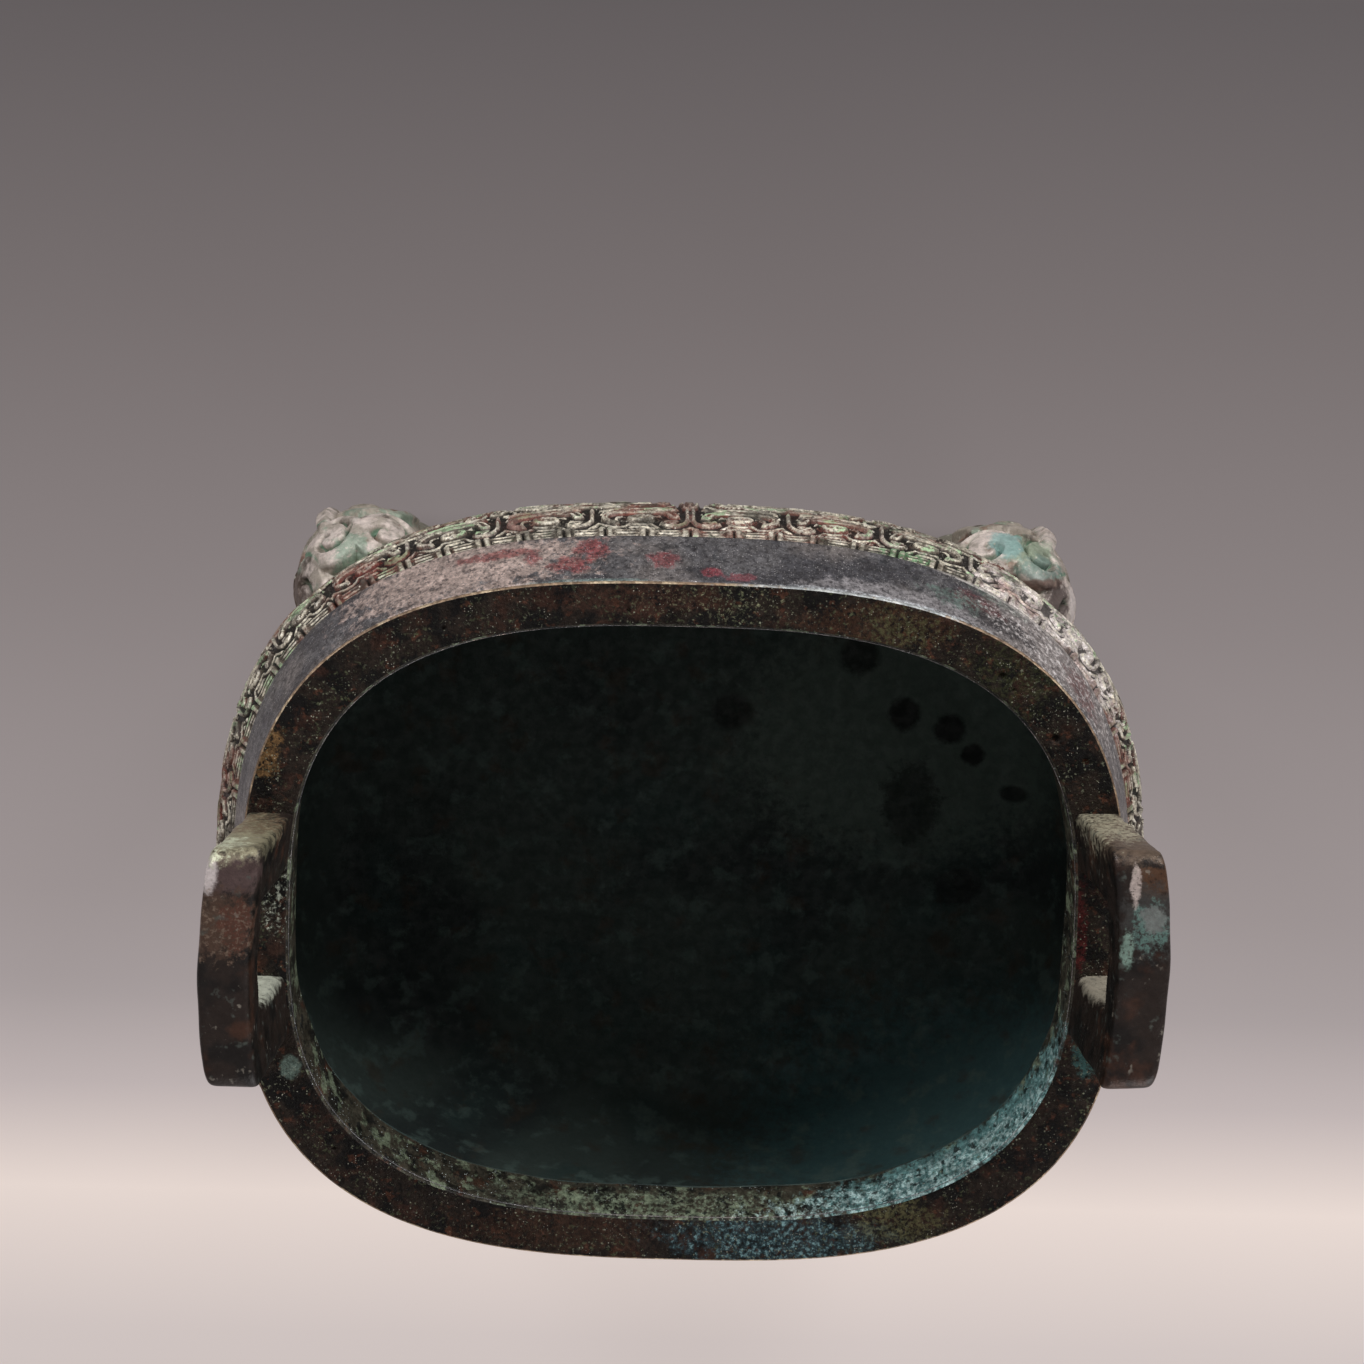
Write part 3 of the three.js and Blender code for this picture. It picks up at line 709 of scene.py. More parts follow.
class Finish(Enum):
    """The burner's finishes, with the places of their patches read from the real one: patina and stains, and
    where marked, painted highlights, glints and shade.
    """

    LIP = OldBronze("lip_bronze", (40, 33, 28), (
        Cloud((15, 15, 15), 0.92, 6.0, 0.45, 0.12),
        Cloud((60, 40, 32), 0.75, 8.0, 0.54, 0.1, 1),
        Cloud((86, 54, 40), 0.65, 2.4, 0.57, 0.08, 2),
        Patch((74, 50, 36), 0.6, (36, 59, 157), (14, 5, 3)),
        Patch((70, 48, 36), 0.5, (-22, -61, 157), (20, 4, 3)),
        Patch((74, 48, 38), 0.5, (-10, 63, 157), (16, 3, 3)),
        Patch((62, 66, 42), 0.55, (62, 50, 157), (8, 7, 3), 3.6, 0.44),
        Patch((82, 86, 58), 0.65, (40, 58.5, 157), (7, 4, 3), 3.6, 0.44),
        Patch((48, 70, 76), 0.7, (20, -61.5, 157), (21, 5, 4), 3.0, 0.36),
        Patch((124, 160, 164), 0.85, (22, -62, 157), (19, 5, 3), 4.0, 0.5),
        Patch((118, 138, 128), 0.85, (-74.8, -30, 157), (2.1, 2.3, 3), 1.4, 0.3),
        Patch((66, 106, 104), 0.7, (78.6, -22, 157), (2.6, 6, 3)),
        # Partly a red-brown stain, partly a painted golden glint on the lip's outer left edge.
        Patch((140, 108, 70), 0.7, (-80.5, 33, 157), (3, 6, 4), 2.4),
        Patch((88, 34, 34), 0.65, (76.8, 1, 157), (1.3, 9, 3), 2.4),
        Cloud((88, 94, 70), 0.7, 1.0, 0.56, 0.08, 11, 0.6, zone=(7.0, 0.53)),
        Cloud((120, 124, 104), 0.8, 0.7, 0.6, 0.06, 12, 0.6, zone=(5.0, 0.5)),
        Dots((140, 144, 124), 0.8, 0.6, 0.35, 5.0, 0.5, 3),
        # Painted glints: these whitish dots stand in for the sparkle of light on the lip's grit.
        Dots((196, 196, 180), 0.75, 0.36, 0.4, 4.0, 0.52, 4),
        Patch((186, 192, 176), 0.85, (-78, 6, 157), (4, 10, 4), 3.6, 0.5),
        Patch((98, 96, 66), 0.75, (44, -57.5, 157), (9, 4, 3), 3.6, 0.42),
        Patch((140, 142, 112), 0.9, (6, 63, 157), (13, 3.4, 3), 3.6, 0.53),
        Patch((132, 134, 92), 0.7, (56, 53, 157), (12, 8, 3), 4.0, 0.6),
    ), metal=0.3, grit=0.9, mirror=0.15)
    # Painted highlight: the lip's rounded outer edge is painted paler than the lip, as the bright line that
    # light draws along it; its pale cloud and the pale patch at the back right are painted highlights too.
    RIM = OldBronze("rim_bronze_painted_highlight", (150, 127, 104), (
        Cloud((84, 68, 56), 0.75, 4.0, 0.5, 0.1),
        Cloud((206, 186, 156), 0.85, 5.0, 0.53, 0.08, 1),
        Patch((196, 204, 206), 0.8, (34, 66, 156.5), (24, 8, 3), 2.0, 0.3),
    ), metal=0.25)
    NECK = OldBronze("neck_bronze", (110, 109, 111), (
        Cloud((68, 69, 75), 0.75, 12.0, 0.46, 0.14, 1),
        Cloud((146, 138, 134), 0.65, 26.0, 0.48, 0.14, 2),
        Cloud((38, 44, 50), 0.7, 7.0, 0.58, 0.1, 3),
        # Painted highlight: the pale pinkish patch on the left of the band, where the light falls brightest.
        Patch((212, 190, 180), 0.9, (-47, 66, 140), (27, 14, 20), 3.0, 0.16),
        # Painted highlight: the paler patch on the band's right corner.
        Patch((172, 163, 160), 0.85, (70, 54, 138), (14, 22, 20), 2.4, 0.2),
        # Painted highlight along the band's top edge at the back right.
        Patch((170, 166, 168), 0.75, (44, 64, 152), (22, 8, 5), 2.4, 0.2),
        Patch((30, 32, 36), 0.85, (60, 58, 146), (8, 7, 7), 3.0, 0.3),
        Patch((168, 92, 90), 0.75, (-38, 67.4, 136), (8, 6, 3), 2.0, 0.3),
        Patch((160, 82, 84), 0.75, (-30.7, 68, 140), (1.6, 4, 5), 2.4, 0.3),
        Patch((162, 80, 82), 0.8, (-23.4, 68, 146), (4.0, 5, 5), 3.0, 0.3),
        Patch((162, 80, 82), 0.8, (-19.0, 70, 137), (3.0, 5, 6), 3.0, 0.3),
        Patch((158, 82, 86), 0.75, (-5.1, 68.8, 143), (3.0, 4, 5), 2.8, 0.3),
        Patch((176, 80, 92), 0.8, (3.9, 67.6, 150), (2.0, 3, 2.8), 1.8, 0.3),
        Patch((156, 86, 94), 0.7, (9.2, 67, 152.5), (3, 3, 2.4), 2.8, 0.3),
        Patch((112, 52, 54), 0.65, (56, 62, 140), (6, 5, 6), 2.8, 0.3),
        Patch((122, 56, 54), 0.65, (76, 44, 142), (4, 8, 10), 2.8, 0.3),
        Patch((138, 160, 156), 0.6, (-19, 66, 155.6), (12, 3, 1.2), 2.0, 0.3),
        Patch((124, 146, 138), 0.75, (52, 62.5, 143), (6, 6, 6), 3.6, 0.4),
        Patch((106, 134, 118), 0.7, (60, 60, 131), (6, 6, 5), 3.6, 0.4),
        Cloud((34, 33, 40), 0.65, 0.9, 0.52, 0.1, 7, 0.6),
        # Painted glints: these pale and near-white dots stand in for the sparkle of light on the band's grit.
        Dots((188, 184, 184), 0.75, 0.34, 0.8, seed=1),
        Dots((226, 222, 220), 0.7, 0.4, 0.5, 9.0, 0.46, 2),
        # Painted highlights: the near-white patch on the right corner, the pale line along the band's top
        # edge at the back right, and the thin bright line along its lower edge at the right corner.
        Patch((244, 238, 236), 0.9, (72, 50, 140), (16, 26, 22), 2.6, 0.48),
        Patch((214, 218, 222), 0.8, (44, 66, 155.8), (26, 8, 1.4), 1.6, 0.4),
        Patch((232, 226, 220), 0.85, (62, 60, 129.6), (16, 16, 1.2), 1.2, 0.3),
    ), metal=0.4, rough=(0.34, 0.5), grit=1.0, grit_size=0.7, grit_depth=0.5, long_grain=2.0, mirror=0.5)
    BELLY = OldBronze("belly_bronze", (112, 102, 90), (
        Cloud((58, 52, 46), 0.9, 3.0, 0.3, 0.1, 0, 0.62, "recess", (0.4, 0.7)),
        Cloud((68, 82, 62), 0.7, 9.0, 0.54, 0.08, 1, 0.62, "recess", (0.5, 0.8)),
        Cloud((74, 64, 58), 0.8, 12.0, 0.44, 0.12, 2, 0.62, "form", (0.3, 0.8)),
        Cloud((116, 62, 53), 0.8, 15.0, 0.5, 0.08, 3, 0.62, "form", (0.3, 0.8)),
        Cloud((92, 54, 46), 0.6, 15.0, 0.56, 0.08, 3),
        Patch((122, 66, 57), 0.7, (22, 72, 121), (24, 5, 4), 2.4, 0.3),
        Patch((98, 40, 38), 0.85, (-62, 60, 120), (5, 5, 5), 2.4, 0.2),
        Cloud((182, 168, 160), 0.6, 9.0, 0.54, 0.1, 8, 0.62, "form", (0.3, 0.8)),
        # Painted highlight: the pale patch on the relief's right corner.
        Patch((226, 214, 209), 0.9, (72, 54, 122), (18, 24, 14), 2.4, 0.15),
        Cloud((222, 214, 194), 0.95, 2.4, 0.38, 0.18, 4, 0.66, "crest", (0.2, 0.42)),
        Cloud((246, 240, 226), 0.85, 1.2, 0.48, 0.14, 14, 0.7, "crest", (0.26, 0.48)),
        Cloud((172, 202, 160), 0.85, 8.0, 0.54, 0.06, 5, 0.66, "crest", (0.2, 0.42)),
        # Painted highlight: the near-white silvery patch on the relief's right corner.
        Patch((242, 234, 230), 0.8, (74, 52, 124), (15, 22, 13), 3.6, 0.46),
        Patch((232, 222, 204), 0.5, (0, 70, 124), (34, 8, 8), 3.0, 0.46),
        Cloud((122, 66, 56), 0.6, 16.0, 0.52, 0.08, 21),
        Cloud((52, 50, 44), 0.65, 13.0, 0.54, 0.08, 22),
        Patch((118, 166, 120), 0.8, (42, 68.5, 126), (5, 4, 4), 3.6, 0.42),
        Patch((120, 186, 96), 0.85, (-67, 52, 126), (1.6, 2.6, 4), 1.6, 0.2),
        # Painted shade: near-black in the deepest recesses of the relief, where shade falls.
        Cloud((26, 24, 22), 0.85, 3.0, 0.3, 0.1, 0, 0.62, "recess", (0.72, 0.84)),
        Cloud((34, 30, 28), 0.6, 0.8, 0.56, 0.1, 9, 0.6),
        Dots((226, 220, 206), 0.8, 0.5, 0.5, 5.0, 0.48, 1),
    ), metal=0.25, grit=0.8, mottle=0.35)
    INSIDE = OldBronze("inner_bronze", (66, 78, 74), (
        Cloud((40, 48, 48), 0.85, 30.0, 0.46, 0.2, 0, 0.4),
        Cloud((52, 72, 70), 0.6, 18.0, 0.5, 0.2, 1, 0.45),
        Patch((70, 104, 106), 0.8, (52, -50, 96), (46, 26, 30), 1.4, 0.05),
        Cloud((98, 118, 112), 0.55, 6.0, 0.52, 0.14, 3, 0.6),
        Cloud((72, 60, 48), 0.5, 7.0, 0.55, 0.12, 4, 0.6),
        Patch((96, 112, 104), 0.85, (46, 22, 74), (36, 26, 14), 1.2, 0.05),
        *dark_spots((0.9, 46, 27, 3.4, 3.6), (0.9, 55.5, 24, 3.4, 3.2), (0.9, 60.5, 18.8, 2.6, 2.4),
              (0.8, 36.4, 39, 4.2, 4.2), (0.75, 10.4, 26.5, 4.4, 4)),
        Patch((8, 10, 10), 0.8, (69, 11, 73), (3.2, 1.8, 9), 0.8, 0.1),
        Patch((10, 12, 12), 0.7, (48, 8, 72), (6, 9, 9), 1.6, 0.1),
        Patch((10, 12, 12), 0.7, (58, -9, 72), (5, 4, 9), 1.6, 0.1),
    ), metal=0.05, rough=(0.6, 0.85), grit=0.2, mottle=0.06)
    THROAT = OldBronze("throat_bronze", (66, 62, 52), (
        Cloud((28, 27, 24), 0.9, 5.0, 0.48, 0.1),
        Cloud((84, 52, 38), 0.7, 7.0, 0.56, 0.1, 2),
        Cloud((128, 140, 116), 0.8, 4.0, 0.54, 0.08, 1),
        Patch((126, 138, 116), 0.8, (0, -56, 150), (32, 10, 12), 2.6, 0.44),
        Patch((104, 148, 148), 0.9, (56, -46, 150), (32, 28, 18), 2.0, 0.3),
        Patch((196, 224, 222), 0.9, (50, -48, 152), (34, 27, 12), 3.0, 0.45),
        Cloud((24, 26, 26), 0.85, 1.8, 0.56, 0.06, 5),
        Dots((176, 188, 180), 0.75, 0.5, 0.5, 5.0, 0.48, 3),
        Dots((214, 224, 222), 0.75, 0.36, 0.5, 4.0, 0.52, 4),
    ), metal=0.15, grit=1.0, long_grain=2.6)
    EAR = OldBronze("ear_patina_and_painted_light", (46, 38, 34), (
        Cloud((26, 24, 23), 0.85, 7.0, 0.47, 0.14, 0, 0.45),
        Cloud((88, 58, 44), 0.6, 9.0, 0.56, 0.14, 1, 0.5),
        Patch((102, 84, 82), 0.8, (-86, 16.4, 196), (9, 4.6, 6), 2.2, 0.2),
        Patch((92, 72, 60), 0.8, (-86, 7, 196), (8, 6.4, 6), 2.4, 0.2),
        Patch((104, 54, 42), 0.5, (-83, 7, 196), (3.4, 5, 6), 3.4, 0.36),
        Patch((30, 34, 30), 0.75, (-86, 6, 196), (7, 8, 6), 3.6, 0.5),
        # Painted highlight: the pinkish-white patch on the left ear's outer top bevel.
        Patch((240, 230, 228), 0.95, (-88.6, 16.6, 196), (2.0, 3.9, 6), 1.2, 0.1),
        Patch((160, 136, 118), 0.55, (-86, 6, 197), (7, 6, 4), 4.0, 0.5),
        # Partly pale cream-green patina, partly painted light: these patches lighten the ear faces that turn
        # to +Y, towards the light.
        Patch((112, 96, 82), 0.85, (86, 25, 178), (11, 5, 24), 1.8, 0.1),
        Patch((196, 190, 164), 0.8, (80, 25, 168), (7, 5, 18), 3.2, 0.4),
        Patch((166, 160, 132), 0.85, (-86, 21, 178), (11, 4, 24), 1.8, 0.1),
        Patch((112, 84, 66), 0.65, (-84, 21, 169), (10, 4, 12), 3.4, 0.4),
        Patch((216, 222, 194), 0.9, (-88, 22, 190), (6, 4, 10), 3.2, 0.38),
        Patch((186, 178, 160), 0.8, (83, -8, 166), (8, 2, 14), 1.8, 0.3),
        Patch((214, 218, 200), 0.9, (-83, -12, 166), (8, 2, 14), 1.8, 0.3),
        Patch((104, 74, 54), 0.75, (87, 19.5, 196), (4, 3.4, 5), 2.8, 0.3),
        Patch((74, 74, 72), 0.7, (86, 12, 197), (6, 7, 5), 2.4, 0.2),
        Patch((112, 146, 138), 0.85, (86.4, 10.6, 197), (3.8, 4.4, 4), 3.2, 0.4),
        Patch((132, 137, 134), 0.9, (86.8, 12.2, 197), (2.6, 2.6, 4), 2.0, 0.15),
        Patch((150, 180, 166), 0.8, (81.9, 6.4, 196), (1.2, 3.8, 6), 2.0, 0.34),
        # Painted highlights: the thin pale stripes on the right ear's rounded top edges.
        Patch((226, 210, 202), 0.85, (83.0, 18.4, 196), (1.0, 3.8, 4), 1.8, 0.34),
        Patch((220, 208, 206), 0.9, (91.4, 18, 195), (1.5, 6, 6), 2.0, 0.3),
        Cloud((96, 104, 98), 0.6, 2.4, 0.6, 0.1, 15, 0.5, zone=(9.0, 0.5)),
        Cloud((156, 150, 138), 0.6, 1.8, 0.64, 0.08, 16, 0.5, zone=(9.0, 0.5)),
    ), metal=0.3, grit=0.35, rough=(0.3, 0.5), mottle=0.12, mirror=0.35)
    LEG = OldBronze("mask_patina_and_painted_light", (170, 160, 149), (
        Patch((124, 116, 100), 0.75, (0, 0, 44), (150, 120, 34), 0.8, 0.2),
        Patch((92, 92, 78), 0.8, (0, 0, 8), (150, 120, 46), 0.5, 0.1),
        Cloud((66, 58, 50), 0.8, 9.0, 0.52, 0.1),
        Cloud((112, 140, 122), 0.6, 7.0, 0.55, 0.1, 1),
        Cloud((120, 70, 50), 0.6, 8.0, 0.6, 0.08, 2),
        Cloud((98, 136, 112), 0.85, 6.0, 0.34, 0.1, 3, 0.62, "recess", (0.3, 0.8)),
        Cloud((222, 208, 200), 0.85, 4.0, 0.4, 0.16, 4, 0.62, "crest", (0.45, 0.9)),
        # Painted shade: the dark brown outer side of the back left mask, turned away from the light.
        Patch((64, 44, 32), 0.85, (-80, 44, 78), (5, 12, 14), 1.6, 0.2),
        Patch((120, 150, 130), 0.7, (-68, 60, 86), (4, 4, 6), 2.4, 0.3),
        Patch((140, 158, 134), 0.8, (72, 64, 84), (8, 5, 8), 1.8, 0.2),
        Patch((142, 176, 172), 0.85, (65, 65, 82), (3.4, 4, 6), 1.8, 0.2),
        Patch((112, 136, 130), 0.7, (74, 60, 86), (7, 4, 6), 1.8, 0.3),
        Patch((120, 84, 74), 0.7, (70, 57, 86), (9, 1.2, 6), 1.8, 0.2),
        Patch((62, 48, 46), 0.85, (75, 53, 84), (4, 4, 6), 1.8, 0.2),
        # Partly pale patina, partly painted highlight: the near-white stripe on the back right mask's outer
        # side.
        Patch((214, 204, 200), 0.85, (80, 54, 82), (1.8, 9, 8), 1.4, 0.2),
        Dots((206, 204, 190), 0.7, 1.2, 0.4, 6.0, 0.5, 1),
    ), metal=0.15, grit=0.4, mottle=0.15)

    @property
    def look(self) -> bpy.types.Material:
        """The finish as a material, made the first time that it is asked for."""
        return bpy.data.materials.get(self.value.name) or self.value.material()


# The bowl's form, which every other piece follows


@dataclass(frozen=True)
class BowlForm:
    """The rounded-square bowl: its level outlines and its two walls."""

    mouth_length: float = 170.0
    mouth_width: float = 133.0
    mouth_power: float = 2.87
    belly_power: float = 2.7
    clearance: float = 65.0
    depth: float = 92.0
    neck_depth: float = 28.0
    neck_end_flare: float = 3.2
    neck_side_flare: float = 4.8
    belly_depth: float = 47.0
    belly_bulge: float = 7.9
    base_inset: float = 21.3
    lip_end_wall: float = 9.5
    lip_side_wall: float = 8.5
    inner_neck_depth: float = 22.0
    belly_wall: float = 7.0
    floor_wall: float = 7.0

    @property
    def lip_height(self) -> float:
        """The height of the lip's face."""
        return self.clearance + self.depth

    def ring(self, turn: Array, half_length: Array, half_width: Array, height: Array) -> Array:
        """Points of rounded-square outlines: cosine and sine raised to 2 over the outline's power.

        Args:
            turn: the angle of each column of points.
            half_length: each row's reach along X.
            half_width: each row's reach along Y.
            height: each row's height.

        Returns:
            A grid of points, row by row.
        """
        down = np.clip((self.lip_height - height) / self.belly_depth, 0, 1)
        power = (2 / mix(self.mouth_power, self.belly_power, down))[:, None]
        x = half_length[:, None] * powered(np.cos(turn)[None, :], power)
        y = half_width[:, None] * powered(np.sin(turn)[None, :], power)
        return np.stack([x, y, np.broadcast_to(height[:, None], x.shape)], axis=-1)

    def outer(self, depth: Array) -> tuple[Array, Array]:
        """How far the outer wall reaches along X and Y at each depth under the lip.

        It flares evenly down the neck, swells as a quarter sine to the widest level, and closes as a
        quarter ellipse to the underside.

        Args:
            depth: depths under the lip.

        Returns:
            The reach along X and along Y at each depth.
        """
        neck = np.clip(depth / self.neck_depth, 0, 1)
        rise = np.clip((depth - self.neck_depth) / (self.belly_depth - self.neck_depth), 0, 1)
        swell = np.sin(QUARTER * rise)
        fall = np.clip((depth - self.belly_depth) / (self.depth - self.belly_depth), 0, 1)
        inset = self.base_inset * (1 - np.sqrt(1 - fall * fall))
        ends = mix(self.neck_end_flare * neck, self.belly_bulge, swell) - inset
        sides = mix(self.neck_side_flare * neck, self.belly_bulge, swell) - inset
        return self.mouth_length / 2 + ends, self.mouth_width / 2 + sides

    def inner(self, depth: Array) -> tuple[Array, Array]:
        """How far the inner wall reaches along X and Y at each depth.

        It is upright under the lip, eases out as half a cosine, and closes as a quarter ellipse to the floor.

        Args:
            depth: depths under the lip.

        Returns:
            The reach along X and along Y at each depth.
        """
        floor = self.depth - self.floor_wall
        rise = np.clip((depth - self.inner_neck_depth) / (self.belly_depth - self.inner_neck_depth), 0, 1)
        ease = (1 - np.cos(np.pi * rise)) / 2
        fall = np.clip((depth - self.belly_depth) / (floor - self.belly_depth), 0, 1)
        inset = self.base_inset * (1 - np.sqrt(1 - fall * fall))
        grown = self.belly_bulge - self.belly_wall
        ends = mix(-self.lip_end_wall, grown, ease) - inset
        sides = mix(-self.lip_side_wall, grown, ease) - inset
        return self.mouth_length / 2 + ends, self.mouth_width / 2 + sides

    def even_turns(self, start: float, end: float, count: int) -> tuple[Array, Array]:
        """Angles from start to end that step evenly along the widest outline.

        Args:
            start: the first angle.
            end: the last angle.
            count: how many angles there are.

        Returns:
            The angles, and how far along the outline each lies from the first, in mm.
        """
        fine = np.linspace(start, end, 20 * FINE + 1)
        level = np.array([self.lip_height - self.belly_depth])
        reach_x, reach_y = self.outer(np.array([self.belly_depth]))
        line = self.ring(fine, reach_x, reach_y, level)[0]
        run = np.concatenate([[0], np.cumsum(np.linalg.norm(np.diff(line, axis=0), axis=1))])
        along = np.linspace(0, run[-1], count)
        return np.interp(along, run, fine), along

    def round_turns(self, count: int) -> Array:
        """Angles all round that step evenly along the widest outline."""
        return self.even_turns(0, TURN, count + 1)[0][:-1]

    def outside(self, points: Array, skin: float) -> Array:
        """Moves points that lie inside the bowl's outer wall out to skin mm under its surface.

        Each point moves level, straight away from the bowl's axis.

        Args:
            points: places in mm.
            skin: how far under the surface they may end.

        Returns:
            The moved points.
        """
        depth = np.clip(self.lip_height - points[..., 2], 0, self.depth)
        reach_x, reach_y = self.outer(depth)
        power = mix(self.mouth_power, self.belly_power, np.clip(depth / self.belly_depth, 0, 1))
        across = np.abs(points[..., 0]) / (reach_x - skin)
        along = np.abs(points[..., 1]) / (reach_y - skin)
        size = (across**power + along**power) ** (1 / power)
        grow = np.where((size < 1) & (points[..., 2] > self.clearance), 1 / np.maximum(size, TINY), 1.0)
        return points * np.stack([grow, grow, np.ones_like(grow)], axis=-1)


FORM = BowlForm()


class Side(Enum):
    """The bowl's four sides, by the direction that each one's middle faces."""

    RIGHT = 0
    BACK = 1
    LEFT = 2
    FRONT = 3


def curve(points: Points, steps: int = 5) -> Array:
    """Rounds a line of corners into a smooth curve that runs through them.

    Each stretch is a cubic whose slope at a corner is half the step between the corners on both sides.

    Args:
        points: the corners.
        steps: how many points each stretch between two corners gets.

    Returns:
        The curve's points.
    """
    knots = np.array(points)
    ends = np.concatenate([2 * knots[:1] - knots[1:2], knots, 2 * knots[-1:] - knots[-2:-1]])
    share = np.linspace(0, 1, steps, endpoint=False)[:, None]
    parts = []
    for before, start, end, after in zip(ends, ends[1:], ends[2:], ends[3:]):
        bend = (2 * before - 5 * start + 4 * end - after) * share**2
        twist = (3 * start - before - 3 * end + after) * share**3
        parts.append((2 * start + (end - before) * share + bend + twist) / 2)
    return np.concatenate([*parts, knots[-1:]])


@dataclass(frozen=True)
class Stroke:
    """A raised band along a smooth curve, with its half width at its start and at its end, in mm."""

    points: Points
    start: float
    end: float

    def gap(self, across: Array, down: Array) -> Array:
        """How far each place lies outside the band's edge, negative inside it.

        Args:
            across: the first coordinate of each place.
            down: the second coordinate.

        Returns:
            The distances in mm.
        """
        line = curve(self.points)
        return outside_line(across, down, line, np.linspace(self.start, self.end, len(line)))


@dataclass(frozen=True)
class Carving:
    """The belly's raised pattern, over a strip measured across from a side's middle and down from the neck.

    A row of square spirals runs under the neck, then a band of eyed scrolls on a ground of lines that follow
    them, then a beast's mask and its curled body on a ground of small spirals, and a last row of spirals.
    """

    row_width: float = 8.75
    row_height: float = 4.6
    first_top: float = 0.5
    scroll_top: float = 5.6
    scroll_pitch: float = 17.5
    mask_top: float = 20.0
    mask_half: float = 62.0
    corner: float = 6.0
    last_top: float = 50.6
    border_gaps: tuple[float, ...] = (0.25, -0.25, -0.4, -0.2, 0.2)
    ground_pitch: float = 4.8
    spiral_turns: float = 1.7
    spiral_range: Range = (0.28, 0.66)
    line_pitch: float = 1.4
    line_shift: float = 0.1
    line_range: Range = (0.35, 0.75)
    edge: float = 0.45
    crown: float = 0.1
    ground: float = 0.15
    thread: float = 0.55
    cut_range: Range = (0.2, 0.5)
    bar: float = 0.85
    bar_inset: float = 0.9
    bar_range: Range = (0.75, 0.45)
    outline: float = 0.55
    outline_fade: float = 0.3
    inner_line: float = 1.05
    inner_line_range: Range = (0.32, 0.1)
    inner_line_depth: float = 0.4
    form_range: Range = (0.1, -0.3)
    rim_range: Range = (1.0, 0.8)
    ring_range: Range = (0.42, 0.56)
    pupil_range: Range = (0.34, 0.12)
    pupil_height: float = 0.9
    eye_ground: float = 1.05
    boss_hole: Range = (0.34, 0.14)
    boss_hole_depth: float = 0.7
    boss_ground: Range = (1.02, 1.2)
    scroll: tuple[Stroke, ...] = (
        Stroke(((-8.2, 12.6), (-8.3, 8.0), (-8.1, 4.0), (-6.9, 1.7), (-4.7, 1.3), (-3.5, 2.6)), 0.6, 0.5),
        Stroke(((-5.9, 6.6), (-4.6, 9.3), (-1.0, 9.6), (3.4, 9.3), (6.3, 7.6), (6.7, 4.4), (4.6, 2.6)),
               1.2, 0.8),
        Stroke(((-5.4, 12.3), (-1.0, 12.5), (4.0, 12.3), (7.0, 11.0)), 1.1, 0.6),
    )
    scroll_eye: Oval = (0.2, 5.2, 2.9, 1.9)
    mask: tuple[Stroke, ...] = (
        Stroke(((0.0, 1.2), (0.0, 10.0), (0.0, 25.4)), 1.5, 2.3),
        Stroke(((1.6, 25.6), (4.6, 27.7), (7.4, 26.4), (7.2, 23.6), (5.2, 23.2)), 1.3, 0.8),
        Stroke(((4.6, 10.0), (6.0, 5.4), (11.0, 2.6), (19.0, 2.0), (26.5, 3.0), (30.6, 7.0), (29.4, 11.4),
                (25.4, 12.0), (24.0, 9.2), (26.2, 7.8)), 1.5, 1.0),
        Stroke(((7.4, 9.6), (12.0, 7.0), (17.4, 7.6), (20.6, 10.4)), 1.0, 0.6),
        Stroke(((5.6, 17.6), (8.0, 20.4), (12.4, 21.2), (17.6, 19.4), (20.4, 15.6)), 0.6, 0.6),
        Stroke(((10.6, 25.2), (15.6, 27.0), (22.0, 26.6), (26.8, 23.0), (26.0, 18.2), (22.4, 17.0),
                (21.0, 19.6), (23.0, 21.4)), 1.4, 0.9),
        Stroke(((34.6, 2.0), (34.0, 7.0), (35.4, 12.6), (40.0, 16.2), (47.0, 16.4), (54.4, 14.0), (58.6, 9.0),
                (56.0, 4.0), (50.0, 2.8), (46.0, 6.0), (47.8, 10.0), (51.8, 9.8), (52.2, 7.4)), 1.5, 1.0),
        Stroke(((31.0, 14.6), (31.4, 19.4), (36.0, 21.2), (44.0, 20.8), (52.0, 20.6), (57.6, 22.6),
                (57.0, 26.6), (52.4, 27.4), (51.0, 24.8)), 1.1, 0.9),
        Stroke(((31.6, 27.8), (33.4, 24.6), (39.0, 24.8), (46.0, 25.6)), 1.2, 0.5),
        Stroke(((39.6, 2.0), (38.8, 6.0), (41.2, 11.0)), 1.0, 0.5),
    )
    eye: Oval = (13.0, 14.6, 4.6, 3.1)

    def cells(self, value: Array, pitch: float) -> Array:
        """Folds a coordinate into cells of a pitch, measured from each cell's middle."""
        return np.mod(value, pitch) - pitch / 2

    def spiral(self, across: Array, down: Array, half: float, spare: float = 0.0) -> Array:
        """Square spirals: the distance from a cell's middle line on the square grid, less the angle in turns.

        Args:
            across: the place in the cell.
            down: the place in the cell.
            half: half of the cell's height.
            spare: half of what the cell's width has more than its height.

        Returns:
            The height of the spirals' thin ridges.
        """
        beside = np.sign(across) * np.maximum(np.abs(across) - spare, 0)
        ring = np.maximum(np.abs(beside), np.abs(down)) / half * self.spiral_turns
        angle = np.arctan2(down, beside + TINY) / TURN
        wave = np.abs(np.mod(ring - angle, 1) - 0.5) * 2
        return mix(self.ground, self.thread, smooth(*self.spiral_range, wave))

